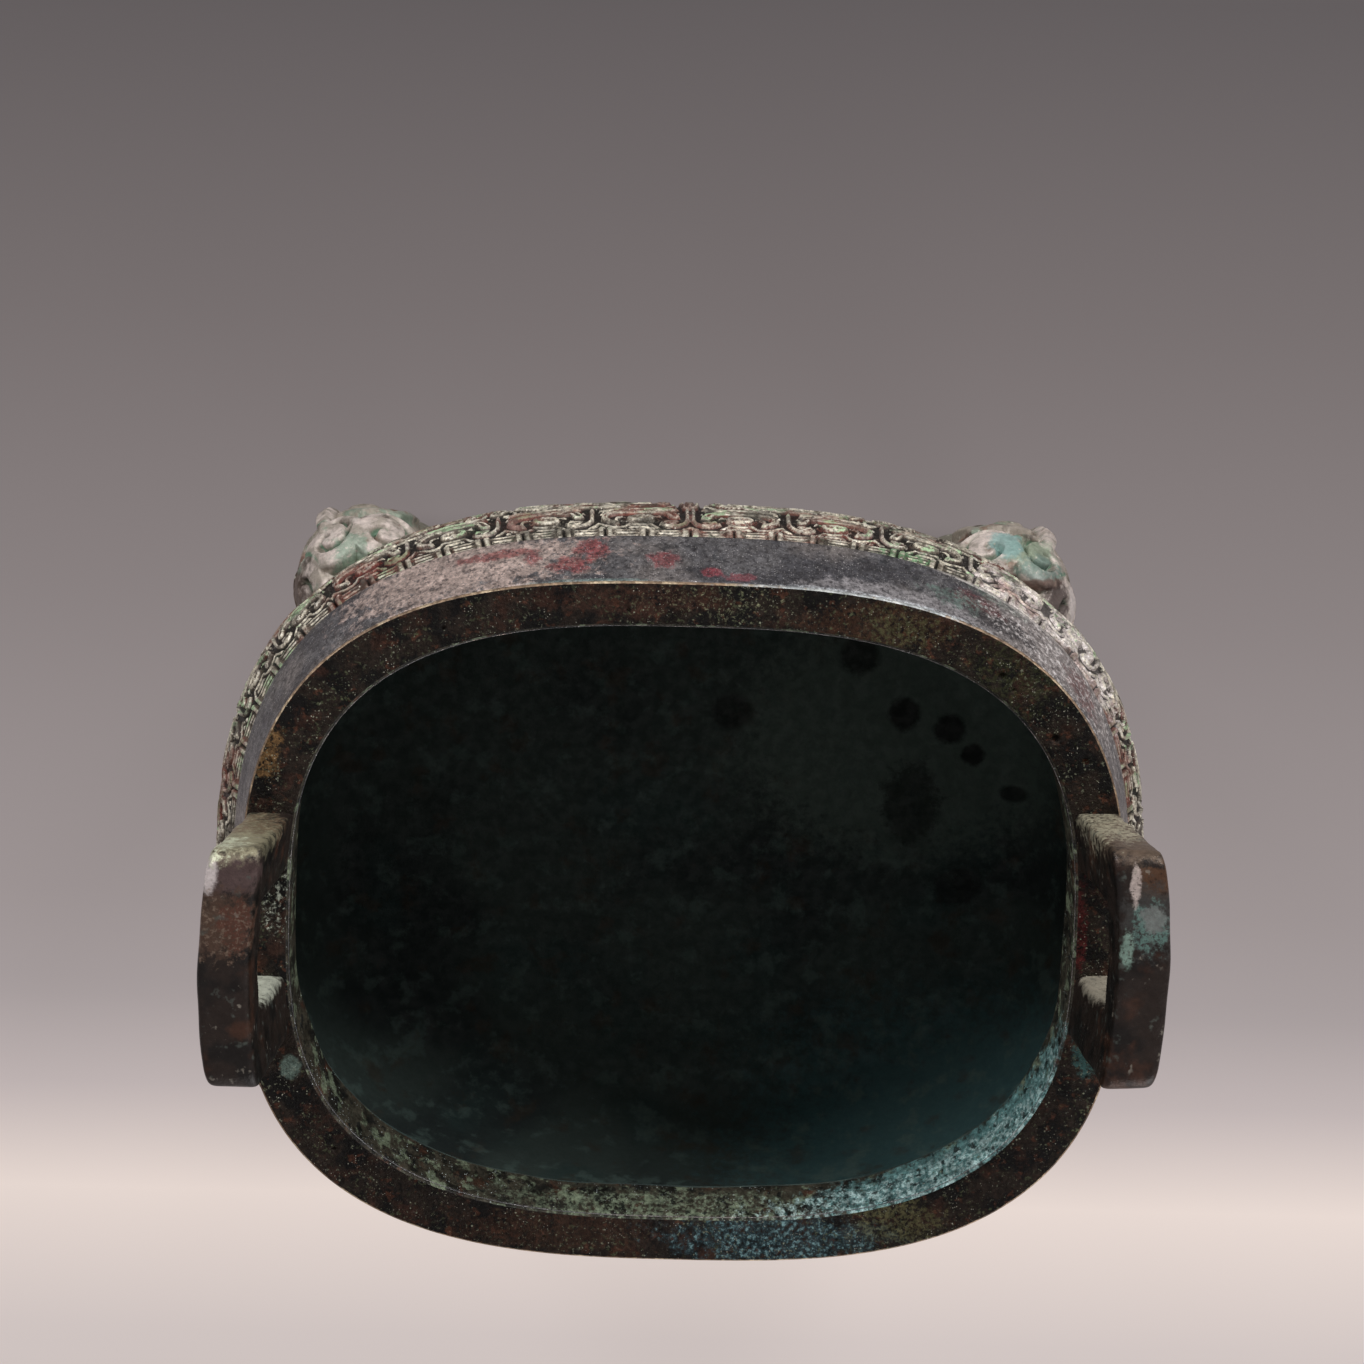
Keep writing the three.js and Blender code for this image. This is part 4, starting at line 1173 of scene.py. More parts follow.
    def over(self, below: Array, gap: Array) -> Array:
        """Lays a band over what is below it: a rounded top, a steep edge, an inner line and a groove outside.

        Args:
            below: the height of what is below.
            gap: how far each place lies outside the band's edge.

        Returns:
            The height with the band.
        """
        rounded = (1 - self.crown) + self.crown * smooth(-self.edge, -3 * self.edge, gap)
        line = smooth(*self.inner_line_range, np.abs(gap + self.inner_line)) * self.inner_line_depth
        beside = below * smooth(self.outline, self.outline + self.outline_fade, gap)
        return np.maximum(beside, smooth(0.0, -self.edge, gap) * rounded - line)

    def oval(self, across: Array, down: Array, shape: Oval) -> Array:
        """How far from an oval's middle each place lies, as a share of its half size."""
        return np.hypot((across - shape[0]) / shape[2], (down - shape[1]) / shape[3])

    def rows(self, across: Array, down: Array, half_length: float) -> tuple[Array, Array]:
        """One row of long square spirals between upright bars.

        Args:
            across: how far each place lies from the side's middle, in mm.
            down: how far it lies below the zone's top.
            half_length: from the side's middle to the corner.

        Returns:
            Its height from 0 to 1, and 0, as it has no broad form.
        """
        width = half_length / round(half_length / self.row_width)
        place = self.cells(across, width)
        half = self.row_height / 2
        lines = self.spiral(place, down - half, half, (width - self.row_height) / 2)
        border = np.abs(place) - width / 2
        bars = self.bar * smooth(*self.bar_range, np.abs(border + self.bar_inset))
        return np.maximum(lines * smooth(*self.cut_range, np.abs(border)), bars), np.zeros_like(place)

    def scrolls(self, across: Array, down: Array, half_length: float) -> tuple[Array, Array]:
        """The band of eyed scrolls, on a ground of lines that follow them.

        Args:
            across: how far each place lies from the side's middle, in mm.
            down: how far it lies below the zone's top.
            half_length: from the side's middle to the corner.

        Returns:
            Its height from 0 to 1, and 1 on its broad forms.
        """
        count = max(1, round(half_length / self.scroll_pitch))
        width = half_length / count
        local = self.cells(across, width) * (self.scroll_pitch / width)
        gap = np.full(across.shape, np.inf)
        for stroke in self.scroll:
            for shift in (-self.scroll_pitch, 0, self.scroll_pitch):
                gap = np.minimum(gap, stroke.gap(local + shift, down))
        round_eye = self.oval(local, down, self.scroll_eye)
        near = np.minimum(gap, (round_eye - 1) * self.scroll_eye[3])
        wave = np.abs(np.mod(near / self.line_pitch + self.line_shift, 1) - 0.5) * 2
        height = self.over(mix(self.ground, self.thread, smooth(*self.line_range, wave)), gap)
        ring = smooth(*self.rim_range, round_eye) * smooth(*self.ring_range, round_eye)
        pupil = smooth(*self.pupil_range, round_eye) * self.pupil_height
        height = np.where(round_eye < self.eye_ground, np.maximum(ring, pupil), height)
        return height, smooth(*self.form_range, gap)

    def beast(self, across: Array, down: Array, half_length: float) -> tuple[Array, Array]:
        """The beast's mask and its body over the spiral ground.

        Args:
            across: how far each place lies from the side's middle, in mm.
            down: how far it lies below the zone's top.
            half_length: from the side's middle to the corner.

        Returns:
            Its height from 0 to 1, and 1 on its broad forms.
        """
        pitch = self.ground_pitch
        ground = self.spiral(self.cells(across + pitch / 2, pitch), self.cells(down, pitch), pitch / 2)
        spread = across * (self.mask_half / (half_length - self.corner))
        gap = np.full(across.shape, np.inf)
        for stroke in self.mask:
            gap = np.minimum(gap, stroke.gap(spread, down))
        height = self.over(ground, gap)
        far = self.oval(spread, down, self.eye)
        hole = self.boss_hole_depth * smooth(*self.boss_hole, far)
        boss = np.sqrt(np.clip(1 - far**2, 0, 1)) * (1 - hole)
        height = np.maximum(height * smooth(*self.boss_ground, far), boss)
        return height, np.maximum(smooth(*self.form_range, gap), smooth(*self.rim_range, far))

    def plain(self, across: Array, down: Array, half_length: float) -> tuple[Array, Array]:
        """The plain border under the pattern, raised all over."""
        return np.ones_like(across), np.zeros_like(across)

    def height(self, across: Array, down: Array, half_length: float) -> tuple[Array, Array]:
        """The pattern's height over the strip.

        Args:
            across: how far each place lies from the side's middle, in mm.
            down: how far it lies below the neck's border.
            half_length: from the side's middle to the corner.

        Returns:
            The height from 0 to 1, and 1 on the broad forms.
        """
        end = self.last_top + self.row_height
        tops = (self.first_top, self.scroll_top, self.mask_top, self.last_top, end)
        zones = (self.rows, self.scrolls, self.beast, self.rows, self.plain)
        height = np.zeros_like(across)
        form = np.zeros_like(across)
        for top, bottom, carve in zip(tops, (*tops[1:], np.inf), zones):
            row = (down[:, 0] >= top) & (down[:, 0] < bottom)
            height[row], form[row] = carve(np.abs(across[row]), down[row] - top, half_length)
        for top, gap in zip((0.0, *tops[1:]), self.border_gaps):
            height = height * smooth(*self.cut_range, np.abs(down - top - gap))
        return height, form


@dataclass
class Belly:
    """The relief belly, as one closed slab of skin on each side of the bowl.

    Its wears each have their depth and length in mm, their seed and how many waves they have.
    """

    carving: Carving = field(default_factory=Carving)
    step_across: float = 0.3
    step_shown: float = 0.3
    step_below: float = 0.45
    shown: float = 21.0
    cut: float = 1.15
    slab: float = 1.9
    back_rows: int = 10
    wears: tuple[tuple[float, float, int, int], ...] = ((0.12, 7, 11, 7), (0.05, 1.5, 12, 12))
    wear_floor: float = 0.06
    crest_floor: float = 0.06
    nearby_reach: int = 3

    def levels(self) -> tuple[Array, Array]:
        """Depths of the slab's rows, finer near the neck.

        Returns:
            The depth of each row, and how far down the skin it lies from the neck's border, in mm.
        """
        depth = FORM.depth - FORM.belly_depth
        angle = np.linspace(0, QUARTER, 2 * FINE + 1)
        upper = np.linspace(FORM.neck_depth, FORM.belly_depth, FINE + 1)
        fine = np.concatenate([upper, FORM.belly_depth + depth * np.sin(angle)[1:]])
        reach = FORM.outer(fine)[1]
        run = np.concatenate([[0], np.cumsum(np.hypot(np.diff(fine), np.diff(reach)))])
        near = np.arange(0, self.shown, self.step_shown)
        far = np.linspace(self.shown, run[-1], round((run[-1] - self.shown) / self.step_below))
        down = np.concatenate([near, far])
        return np.interp(down, run, fine), down

    def build(self, side: Side) -> bpy.types.Object:
        """Builds one side's slab: the carved skin, a plain back, and walls round its edges.

        Args:
            side: which side it is.

        Returns:
            The piece.
        """
        start, end = (side.value - 0.5) * QUARTER, (side.value + 0.5) * QUARTER
        length = FORM.even_turns(start, end, 2)[1][-1]
        turn, along = FORM.even_turns(start, end, round(length / self.step_across))
        depth, down = self.levels()
        across = along - length / 2
        reach_x, reach_y = FORM.outer(depth)
        skin = FORM.ring(turn, reach_x, reach_y, FORM.lip_height - depth)
        outward = normals_of(skin)
        outward *= np.sign((outward * skin).sum(axis=-1, keepdims=True).mean())
        place_across, place_down = np.meshgrid(across, down)
        height, form = self.carving.height(place_across, place_down, length / 2)
        wear = sum(deep * waves(skin, *kind) for deep, *kind in self.wears)
        sunk = (1 - height) * self.cut + np.clip(wear + self.wear_floor, 0, 1)
        front = skin - outward * sunk[..., None]
        rows = np.linspace(0, len(depth) - 1, self.back_rows).round().astype(int)
        back = skin[rows] - outward[rows] * self.slab
        marks = {"recess": 1 - height, "form": form, "crest": self.crest(height)}
        return self.close(side, front, back, marks)

    def nearby(self, value: Array) -> Array:
        """The mean of a value over the places round each place.

        Args:
            value: the value over the grid.

        Returns:
            Its means.
        """
        shifts = range(-self.nearby_reach, self.nearby_reach + 1)
        for axis in (0, 1):
            value = sum(np.roll(value, shift, axis) for shift in shifts) / len(shifts)
        return value

    def crest(self, height: Array) -> Array:
        """Where the pattern stands above its neighbourhood, as a share of how uneven that is.

        Args:
            height: the pattern's height.

        Returns:
            The share, from 0 to 1.
        """
        mean = self.nearby(height)
        spread = np.sqrt(np.maximum(self.nearby(height**2) - mean**2, 0))
        return np.clip((height - mean) / (2 * spread + self.crest_floor), 0, 1)

    def close(self, side: Side, front: Array, back: Array, marks: dict[str, Array]) -> bpy.types.Object:
        """Joins the front and back grids into one closed slab and dresses it.

        Args:
            side: which side it is.
            front: the carved skin.
            back: the plain back.
            marks: named values over the front.

        Returns:
            The piece.
        """
        rows, columns = front.shape[:2]
        shift = rows * columns
        behind = shift + np.arange(back.shape[0] * columns).reshape(-1, columns)
        ahead = np.arange(shift).reshape(rows, columns)
        faces = [grid_faces(ahead, False), grid_faces(behind, False)[:, ::-1]]
        for one, other, flip in ((ahead[0], behind[0], -1), (ahead[-1], behind[-1], 1)):
            wall = np.stack([one[:-1], one[1:], other[1:], other[:-1]], axis=-1)
            faces.append(wall[:, ::flip])
        for column, flip in ((0, 1), (-1, -1)):
            edge = np.concatenate([ahead[:, column], behind[::-1, column]])
            faces.append(edge[None, ::flip])
        points = np.concatenate([front.reshape(-1, 3), back.reshape(-1, 3)])
        spare = np.zeros(len(points) - shift)
        full = {name: np.concatenate([values.ravel(), spare]) for name, values in marks.items()}
        name = f"belly_relief_{side.name.lower()}"
        return make_piece(name, points, facing_out(points, faces), [Finish.BELLY.look], full)


@dataclass
class Lip:
    """The lip's flat face, as a closed ring of square section with rounded edges and casting pores.

    Each pore has its place, x and y, and its radius.
    """

    columns: int = 1400
    face_rows: int = 25
    thickness: float = 1.0
    outer_round: float = 0.4
    inner_round: float = 0.9
    unevenness: float = 0.1
    wave: float = 16.0
    seed: int = 3
    round_steps: int = 5
    pore_depth: float = 0.75
    pore_edge: Range = (1.0, 0.35)
    pores: tuple[tuple[float, float, float], ...] = (
        (59.8, 50.2, 1.0), (70.4, 38.3, 1.1), (76.4, 33.9, 0.9), (62.0, 47.6, 0.5), (74.2, 36.6, 0.5),
        (-47.0, 56.6, 0.7), (22.0, 62.0, 0.5), (-12.0, 61.0, 0.6), (81.0, 24.0, 0.5), (-79.5, 30.0, 0.6),
        (40.0, -60.0, 0.6), (-25.0, -62.5, 0.5), (-66.0, -46.0, 0.7), (79.0, -28.0, 0.6),
    )

    def section(self) -> tuple[Array, Array]:
        """The ring's section, from the outer wall over the face to the inner wall.

        Returns:
            How far across the wall each row lies, from 0 to 1, and how far below the face, in mm.
        """
        wall = FORM.lip_end_wall
        turn = np.linspace(0, QUARTER, self.round_steps)
        face = np.linspace(self.outer_round, wall - self.inner_round, self.face_rows)[1:-1]
        outer = self.outer_round * (1 - np.cos(turn))
        inner = wall - self.inner_round * (1 - np.sin(turn))
        across = np.concatenate([[0], outer, face, inner, [wall]])
        drop = [[self.thickness], self.outer_round * (1 - np.sin(turn)), 0 * face,
                self.inner_round * (1 - np.cos(turn)), [self.thickness]]
        return across / wall, np.concatenate(drop)

    def build(self) -> bpy.types.Object:
        """Builds the ring and sinks its pores.

        Returns:
            The piece.
        """
        share, drop = self.section()
        turn = FORM.round_turns(self.columns)
        flare_x, flare_y = FORM.outer(drop)
        reach_x = flare_x - share * FORM.lip_end_wall
        reach_y = flare_y - share * FORM.lip_side_wall
        ring = FORM.ring(turn, reach_x, reach_y, FORM.lip_height - drop)
        near_face = (1 - smooth(0.0, self.thickness, drop))[:, None]
        ring[..., 2] -= near_face * self.unevenness * (1 + waves(ring, self.wave, self.seed)) / 2
        for x, y, radius in self.pores:
            gap = np.hypot(ring[..., 0] - x, ring[..., 1] - y) / radius
            ring[..., 2] -= near_face * self.pore_depth * radius * smooth(*self.pore_edge, gap)
        rows = len(share)
        number = np.arange(rows * self.columns).reshape(rows, -1)
        quads = grid_faces(np.concatenate([number, number[:1]]), True)
        points = ring.reshape(-1, 3)
        # The outer rounded rows take the rim finish, painted paler as a highlight line along the edge.
        looks = [Finish.LIP.look, Finish.RIM.look, Finish.THROAT.look]
        row = np.repeat(np.arange(rows), self.columns)
        look = np.where(row < self.round_steps - 1, 1, np.where(row >= rows - self.round_steps, 2, 0))
        faces = facing_out(points, [quads])
        return make_piece("lip_face", points, faces, looks, look_of=look)


@dataclass
class Wall:
    """The bowl's plain neck, inside and underside, and the core behind the relief, as one closed shell."""

    columns: int = 560
    top: float = 0.9
    recess: float = 2.0
    recess_start: float = 0.05
    disc_rows: int = 15
    disc_middle: float = 0.04
    core_rows: int = 24
    neck_rows: int = 30
    inner_rows: int = 60
    swell: float = 0.0035
    swell_length: float = 22.0
    seed: int = 5
    swell_fade: Range = (156.0, 150.0)

    def levels(self) -> list[tuple[Array, Array, Array]]:
        """The shell's rows: the underside, the core behind the relief, the neck, the inside and the floor.

        The rows between the discs lie as the sine of even angles does, closest together near their ends.

        Returns:
            For each stretch, its rows' reaches along X and Y, and their heights.
        """
        start = FORM.neck_depth + self.recess_start
        floor = FORM.depth - FORM.floor_wall
        core = start + (FORM.depth - start) * np.sin(np.linspace(0, QUARTER, self.core_rows))
        neck = np.linspace(self.top, FORM.neck_depth, self.neck_rows)
        inside = self.top + (floor - self.top) * np.sin(np.linspace(0, QUARTER, self.inner_rows))
        stretches = []
        for depth, reach, less in ((core[::-1], FORM.outer, self.recess), (neck[::-1], FORM.outer, 0.0),
                                   (inside, FORM.inner, 0.0)):
            reach_x, reach_y = reach(depth)
            stretches.append((reach_x - less, reach_y - less, FORM.lip_height - depth))
        close = np.linspace(self.disc_middle, 1, self.disc_rows + 1)[:-1]
        discs = []
        for depth, reach, share in ((FORM.depth, FORM.outer, close), (floor, FORM.inner, close[::-1])):
            reach_x, reach_y = reach(np.array([depth]))
            discs.append((reach_x * share, reach_y * share, np.full(self.disc_rows, FORM.lip_height - depth)))
        return [discs[0], *stretches, discs[1]]

    def looks_of(self, height: Array, ends: Array) -> Array:
        """Gives each face its finish: 0 on the neck, 1 inside, 2 underneath, and 3 under the lip.

        Args:
            height: each row's height.
            ends: how many rows lie before each stretch's end.

        Returns:
            The finish's number for each face.
        """
        row = np.repeat(np.arange(len(height) - 1), self.columns)
        look = np.where(row < ends[1] - 1, 2, np.where(row < ends[2], 0, 1))
        throat = (row >= ends[2]) & (height[row] > FORM.lip_height - FORM.inner_neck_depth)
        poles = [np.full(self.columns, 2), np.full(self.columns, 1)]
        return np.concatenate([np.where(throat, 3, look), *poles])

    def build(self) -> bpy.types.Object:
        """Builds the shell from the underside's middle, up the outside and down the inside to the floor.

        Returns:
            The piece.
        """
        stretches = self.levels()
        reach_x, reach_y, height = (np.concatenate(values) for values in zip(*stretches))
        grid = FORM.ring(FORM.round_turns(self.columns), reach_x, reach_y, height)
        ends = np.cumsum([len(stretch[0]) for stretch in stretches])
        inner = grid[ends[2]:]
        swell = self.swell * waves(inner, self.swell_length, self.seed)
        swell = swell * smooth(*self.swell_fade, inner[..., 2])
        inner += swell[..., None] * inner * [1, 1, 0]
        points, faces = turned(grid)
        looks = [finish.look for finish in (Finish.NECK, Finish.INSIDE, Finish.LIP, Finish.THROAT)]
        look_of = self.looks_of(height, ends)
        piece = make_piece("bowl_wall", points, faces, looks, look_of=look_of)
        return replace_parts(piece, "vessel_body")


@dataclass
class Ear:
    """An upright loop ear on the lip: a leaning, bowed slab with rounded edges round an open loop."""

    name: str
    turn: float
    height: float = 40.0
    root_half: float = 22.0
    top_half: float = 22.8
    loop_half: float = 10.0
    loop_height: float = 28.0
    root_thickness: float = 8.6
    top_thickness: float = 10.0
    lean: float = 4.2
    bow: float = 2.0
    outer_corner: float = 3.4
    inner_corner: float = 3.2
    drift: float = 2.0
    power: float = 8.0
    foot: float = 0.6
    foot_height: float = 2.0
    root_overlap: float = 0.4
    unevenness: float = 0.16
    wave: float = 11.0
    seed: int = 21
    around: int = 112
    leg_rows: int = 70
    bend_rows: int = 16
    top_rows: int = 36

    def rim(self, half_root: float, half_top: float, top: float, corner: float) -> Array:
        """One outline of the ear, from one root over the top to the other, as places across and up.

        Args:
            half_root: half of its width at the root.
            half_top: half of its width at the top.
            top: its height.
            corner: the radius of its corners.

        Returns:
            A line of points: a straight leg, a quarter circle and a straight run, and the same mirrored.
        """
        rise = np.linspace(-self.root_overlap, top - corner, self.leg_rows)
        leg = np.stack([mix(half_root, half_top, rise / top), rise], axis=-1)
        angle = np.linspace(0, QUARTER, self.bend_rows)[1:]
        across = half_top - corner * (1 - np.cos(angle))
        bend = np.stack([across, top - corner * (1 - np.sin(angle))], axis=-1)
        run = np.linspace(half_top - corner, 0, self.top_rows)[1:]
        half = np.concatenate([leg, bend, np.stack([run, np.full_like(run, top)], axis=-1)])
        return np.concatenate([half, (half * [-1, 1])[-2::-1]])

    def build(self) -> bpy.types.Object:
        """Builds the slab: each section is a rounded square between the inner and the outer outline.

        Returns:
            The piece.
        """
        inner = self.rim(self.loop_half, self.loop_half, self.loop_height, self.inner_corner)
        outer = self.rim(self.root_half, self.top_half, self.height, self.outer_corner)
        angle = np.linspace(0, TURN, self.around, endpoint=False)
        across_share = (1 + powered(np.cos(angle), 2 / self.power)) / 2
        through = powered(np.sin(angle), 2 / self.power) / 2
        plate = mix(inner[:, None], outer[:, None], across_share[None, :, None])
        across, up = plate[..., 0], plate[..., 1]
        thickness = mix(self.root_thickness, self.top_thickness, up / self.height)
        thickness = thickness + self.foot * smooth(self.foot_height, 0.0, up)
        middle = FORM.mouth_length / 2 - FORM.lip_end_wall / 2 + self.lean * up / self.height
        middle = middle + self.bow * (0.5 - (across / self.root_half) ** 2)
        x = middle + through[None] * thickness
        place = np.stack([x, across + self.drift, up + FORM.lip_height], axis=-1)
        place += self.unevenness * wobble(place, self.wave, self.seed)
        place[..., 2] = np.minimum(place[..., 2], FORM.lip_height + self.height)
        spin = np.array([[math.cos(self.turn), math.sin(self.turn), 0],
                         [-math.sin(self.turn), math.cos(self.turn), 0], [0, 0, 1]])
        points, faces = turned(place @ spin)
        piece = make_piece(f"{self.name}_loop", points, faces, [Finish.EAR.look])
        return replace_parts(piece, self.name)


@dataclass(frozen=True)
class Curls:
    """The snail-like curls on a mask's crown: spiral ridges round lines that lean halfway up and outward.

    Each has its angle round the mask in radians, and its middle's distance from the mask's middle in mm. The
    edges are lengths from a curl's radius or, for its start, along its line.
    """

    places: Points = ((0.0, 11.8), (-0.91, 10.4), (0.91, 10.4))
    height: float = 80.4
    radius: float = 7.6
    pitch: float = 4.6
    start: Range = (-7.0, -4.0)
    body_edge: Range = (0.8, -1.6)
    groove_edge: Range = (-0.4, -1.6)
    groove: Range = (0.62, 0.9)
    rise: float = 2.6
    depth: float = 2.0

    def relief(self, place: Array, shift: float, angle: float, reach: float) -> tuple[Array, Array, Array]:
        """One curl over the plain mask.

        Args:
            place: points of the plain mask, in the leg's own frame.
            shift: how far along X the mask's middle lies.
            angle: where round the mask the curl sits.
            reach: how far its middle lies from the mask's middle.

        Returns:
            The rise in mm, how deep each place lies in the groove, and 1 on the ridge.
        """
        outward = np.array([math.cos(angle), math.sin(angle), 0.0])
        upward = np.array([0.0, 0.0, 1.0])
        aside = np.cross(upward, outward)
        axis = (outward + upward) / math.sqrt(2)
        down = (outward - upward) / math.sqrt(2)
        away = place - outward * reach - [shift, 0.0, self.height]
        across = away @ aside
        far = np.hypot(across, away @ down)
        round_it = np.arctan2(across * (1 if angle >= 0 else -1), away @ down) / TURN
        here = smooth(*self.start, away @ axis)
        body = smooth(*(self.radius + edge for edge in self.body_edge), far) * here
        fold = np.abs(np.mod((far - self.radius) / self.pitch + round_it, 1) - 0.5) * 2
        inside = smooth(*(self.radius + edge for edge in self.groove_edge), far)
        groove = smooth(*self.groove, 1 - fold) * inside * here
        return self.rise * body - self.depth * groove, groove, body * (1 - groove)


@dataclass(frozen=True)
class BeastMask:
    """A beast's face round the head of a leg.

    A place on it is its length in mm round the head from the face's middle, and its height over the sole.
    A form's edge is the two distances from its middle between which it fades, the outer one first.
    """

    radius: float = 14.0
    shift: float = 7.4
    foot: float = 40.0
    top: float = 87.0
    neck_share: float = 0.6
    ridge_edge: Range = (2.6, 0.8)
    ridge_foot: Range = (47.0, 52.0)
    ridge_top: Range = (80.0, 74.0)
    ridge_rise: float = 3.6
    snout_height: float = 48.0
    snout_stretch: float = 1.15
    snout_edge: Range = (7.6, 2.0)
    snout_rise: float = 3.2
    eye: Pair = (7.0, 61.5)
    eye_size: Pair = (3.8, 2.7)
    eye_rise: float = 1.8
    pupil_stretch: float = 1.4
    pupil_edge: Range = (1.3, 0.7)
    brow: Points = ((3.2, 64.5), (8.0, 67.8), (14.0, 66.0), (17.6, 60.0))
    brow_edge: Range = (1.8, 0.8)
    brow_rise: float = 1.5
    jaw: Points = ((6.0, 45.5), (11.0, 48.8), (15.4, 46.2), (15.0, 42.4))
    jaw_edge: Range = (1.7, 0.8)
    jaw_rise: float = 1.2
    cheek: Pair = (15.6, 54.5)
    cheek_ring: Pair = (3.4, 1.5)
    cheek_edge: Range = (3.2, 2.0)
    cheek_rise: float = 1.2
    hollow_depth: float = 0.8
    full_crest: float = 2.6
    curl_start: float = 0.1
    knob: Triple = (15.0, 0.0, 76.5)
    knob_edge: Range = (3.0, 1.2)
    knob_rise: float = 1.8
    curls: Curls = Curls()

    def head(self, height: Array, neck: float) -> Array:
        """The plain head's radius: it swells as a quarter sine from the chin and closes as a blunt dome.

        Args:
            height: heights over the sole.
            neck: the column's radius under it.

        Returns:
            The radius at each height, 0 below the chin.
        """
        middle = (self.foot + self.top) / 2
        low = np.clip((height - self.foot) / (middle - self.foot), 0, 1)
        high = np.clip((height - middle) / (self.top - middle), 0, 1)
        swell = mix(neck * self.neck_share, self.radius, np.sin(QUARTER * low))
        return np.where(height < self.foot, 0.0, swell * (1 - high**2) ** 0.25)

    def rises(self, round_it: Array, height: Array) -> Array:
        """The highest of the face's forms at each place: nose ridge, snout, eye, brow, jaw and cheek ring.

        Args:
            round_it: how far round the face each place lies.
            height: how high it lies.

        Returns:
            The rise in mm.
        """
        ridge = smooth(*self.ridge_edge, round_it) * smooth(*self.ridge_foot, height)
        ridge = ridge * smooth(*self.ridge_top, height)
        snout = np.hypot(round_it / self.snout_stretch, height - self.snout_height)
        eye = sum(((value - middle) / half) ** 2
                  for value, middle, half in zip((round_it, height), self.eye, self.eye_size))
        brow, jaw = (outside_line(round_it, height, line, np.zeros(len(line)))
                     for line in (self.brow, self.jaw))
        middle, half = self.cheek_ring
        ring = 1 - ((self.from_cheek(round_it, height) - middle) / half) ** 2
        rise = self.ridge_rise * ridge
        for form, size in ((smooth(*self.snout_edge, snout), self.snout_rise),
                           (np.sqrt(np.clip(1 - eye, 0, 1)), self.eye_rise),
                           (smooth(*self.brow_edge, brow), self.brow_rise),
                           (smooth(*self.jaw_edge, jaw), self.jaw_rise),
                           (np.sqrt(np.clip(ring, 0, 1)), self.cheek_rise)):
            rise = np.maximum(rise, size * form)
        return rise

    def from_cheek(self, round_it: Array, height: Array) -> Array:
        """Each place's distance from the cheek ring's middle."""
        return np.hypot(round_it - self.cheek[0], height - self.cheek[1])

    def relief(self, place: Array, turn: Array, height: Array) -> tuple[Array, Array, Array]:
        """The face with its curls and the knob on its forehead.

        Args:
            place: points of the plain head, in the leg's own frame.
            turn: their angles round it.
            height: their heights over the sole.

        Returns:
            The rise in mm, how deep each place lies in a hollow, and 1 on the crests.
        """
        round_it = np.abs(turn) * self.radius
        rise = self.rises(round_it, height)
        cheek = smooth(*self.cheek_edge, self.from_cheek(round_it, height))
        gap = np.hypot((round_it - self.eye[0]) / self.pupil_stretch, height - self.eye[1])
        pupil = smooth(*self.pupil_edge, gap)
        rise = rise - self.hollow_depth * (cheek + pupil)
        hollow = np.clip(cheek + pupil, 0, 1)
        crest = np.clip(rise / self.full_crest, 0, 1)
        for angle, reach in self.curls.places:
            lift, groove, top = self.curls.relief(place, self.shift, angle, reach)
            rise = np.where(lift > rise, lift, rise)
            hollow = np.maximum(hollow * (top < self.curl_start), groove)
            crest = np.maximum(crest, top)
        middle = np.add(self.knob, [self.shift, 0, 0])
        knob = smooth(*self.knob_edge, np.linalg.norm(place - middle, axis=-1))
        return rise + self.knob_rise * knob, hollow, np.clip(crest, 0, 1)


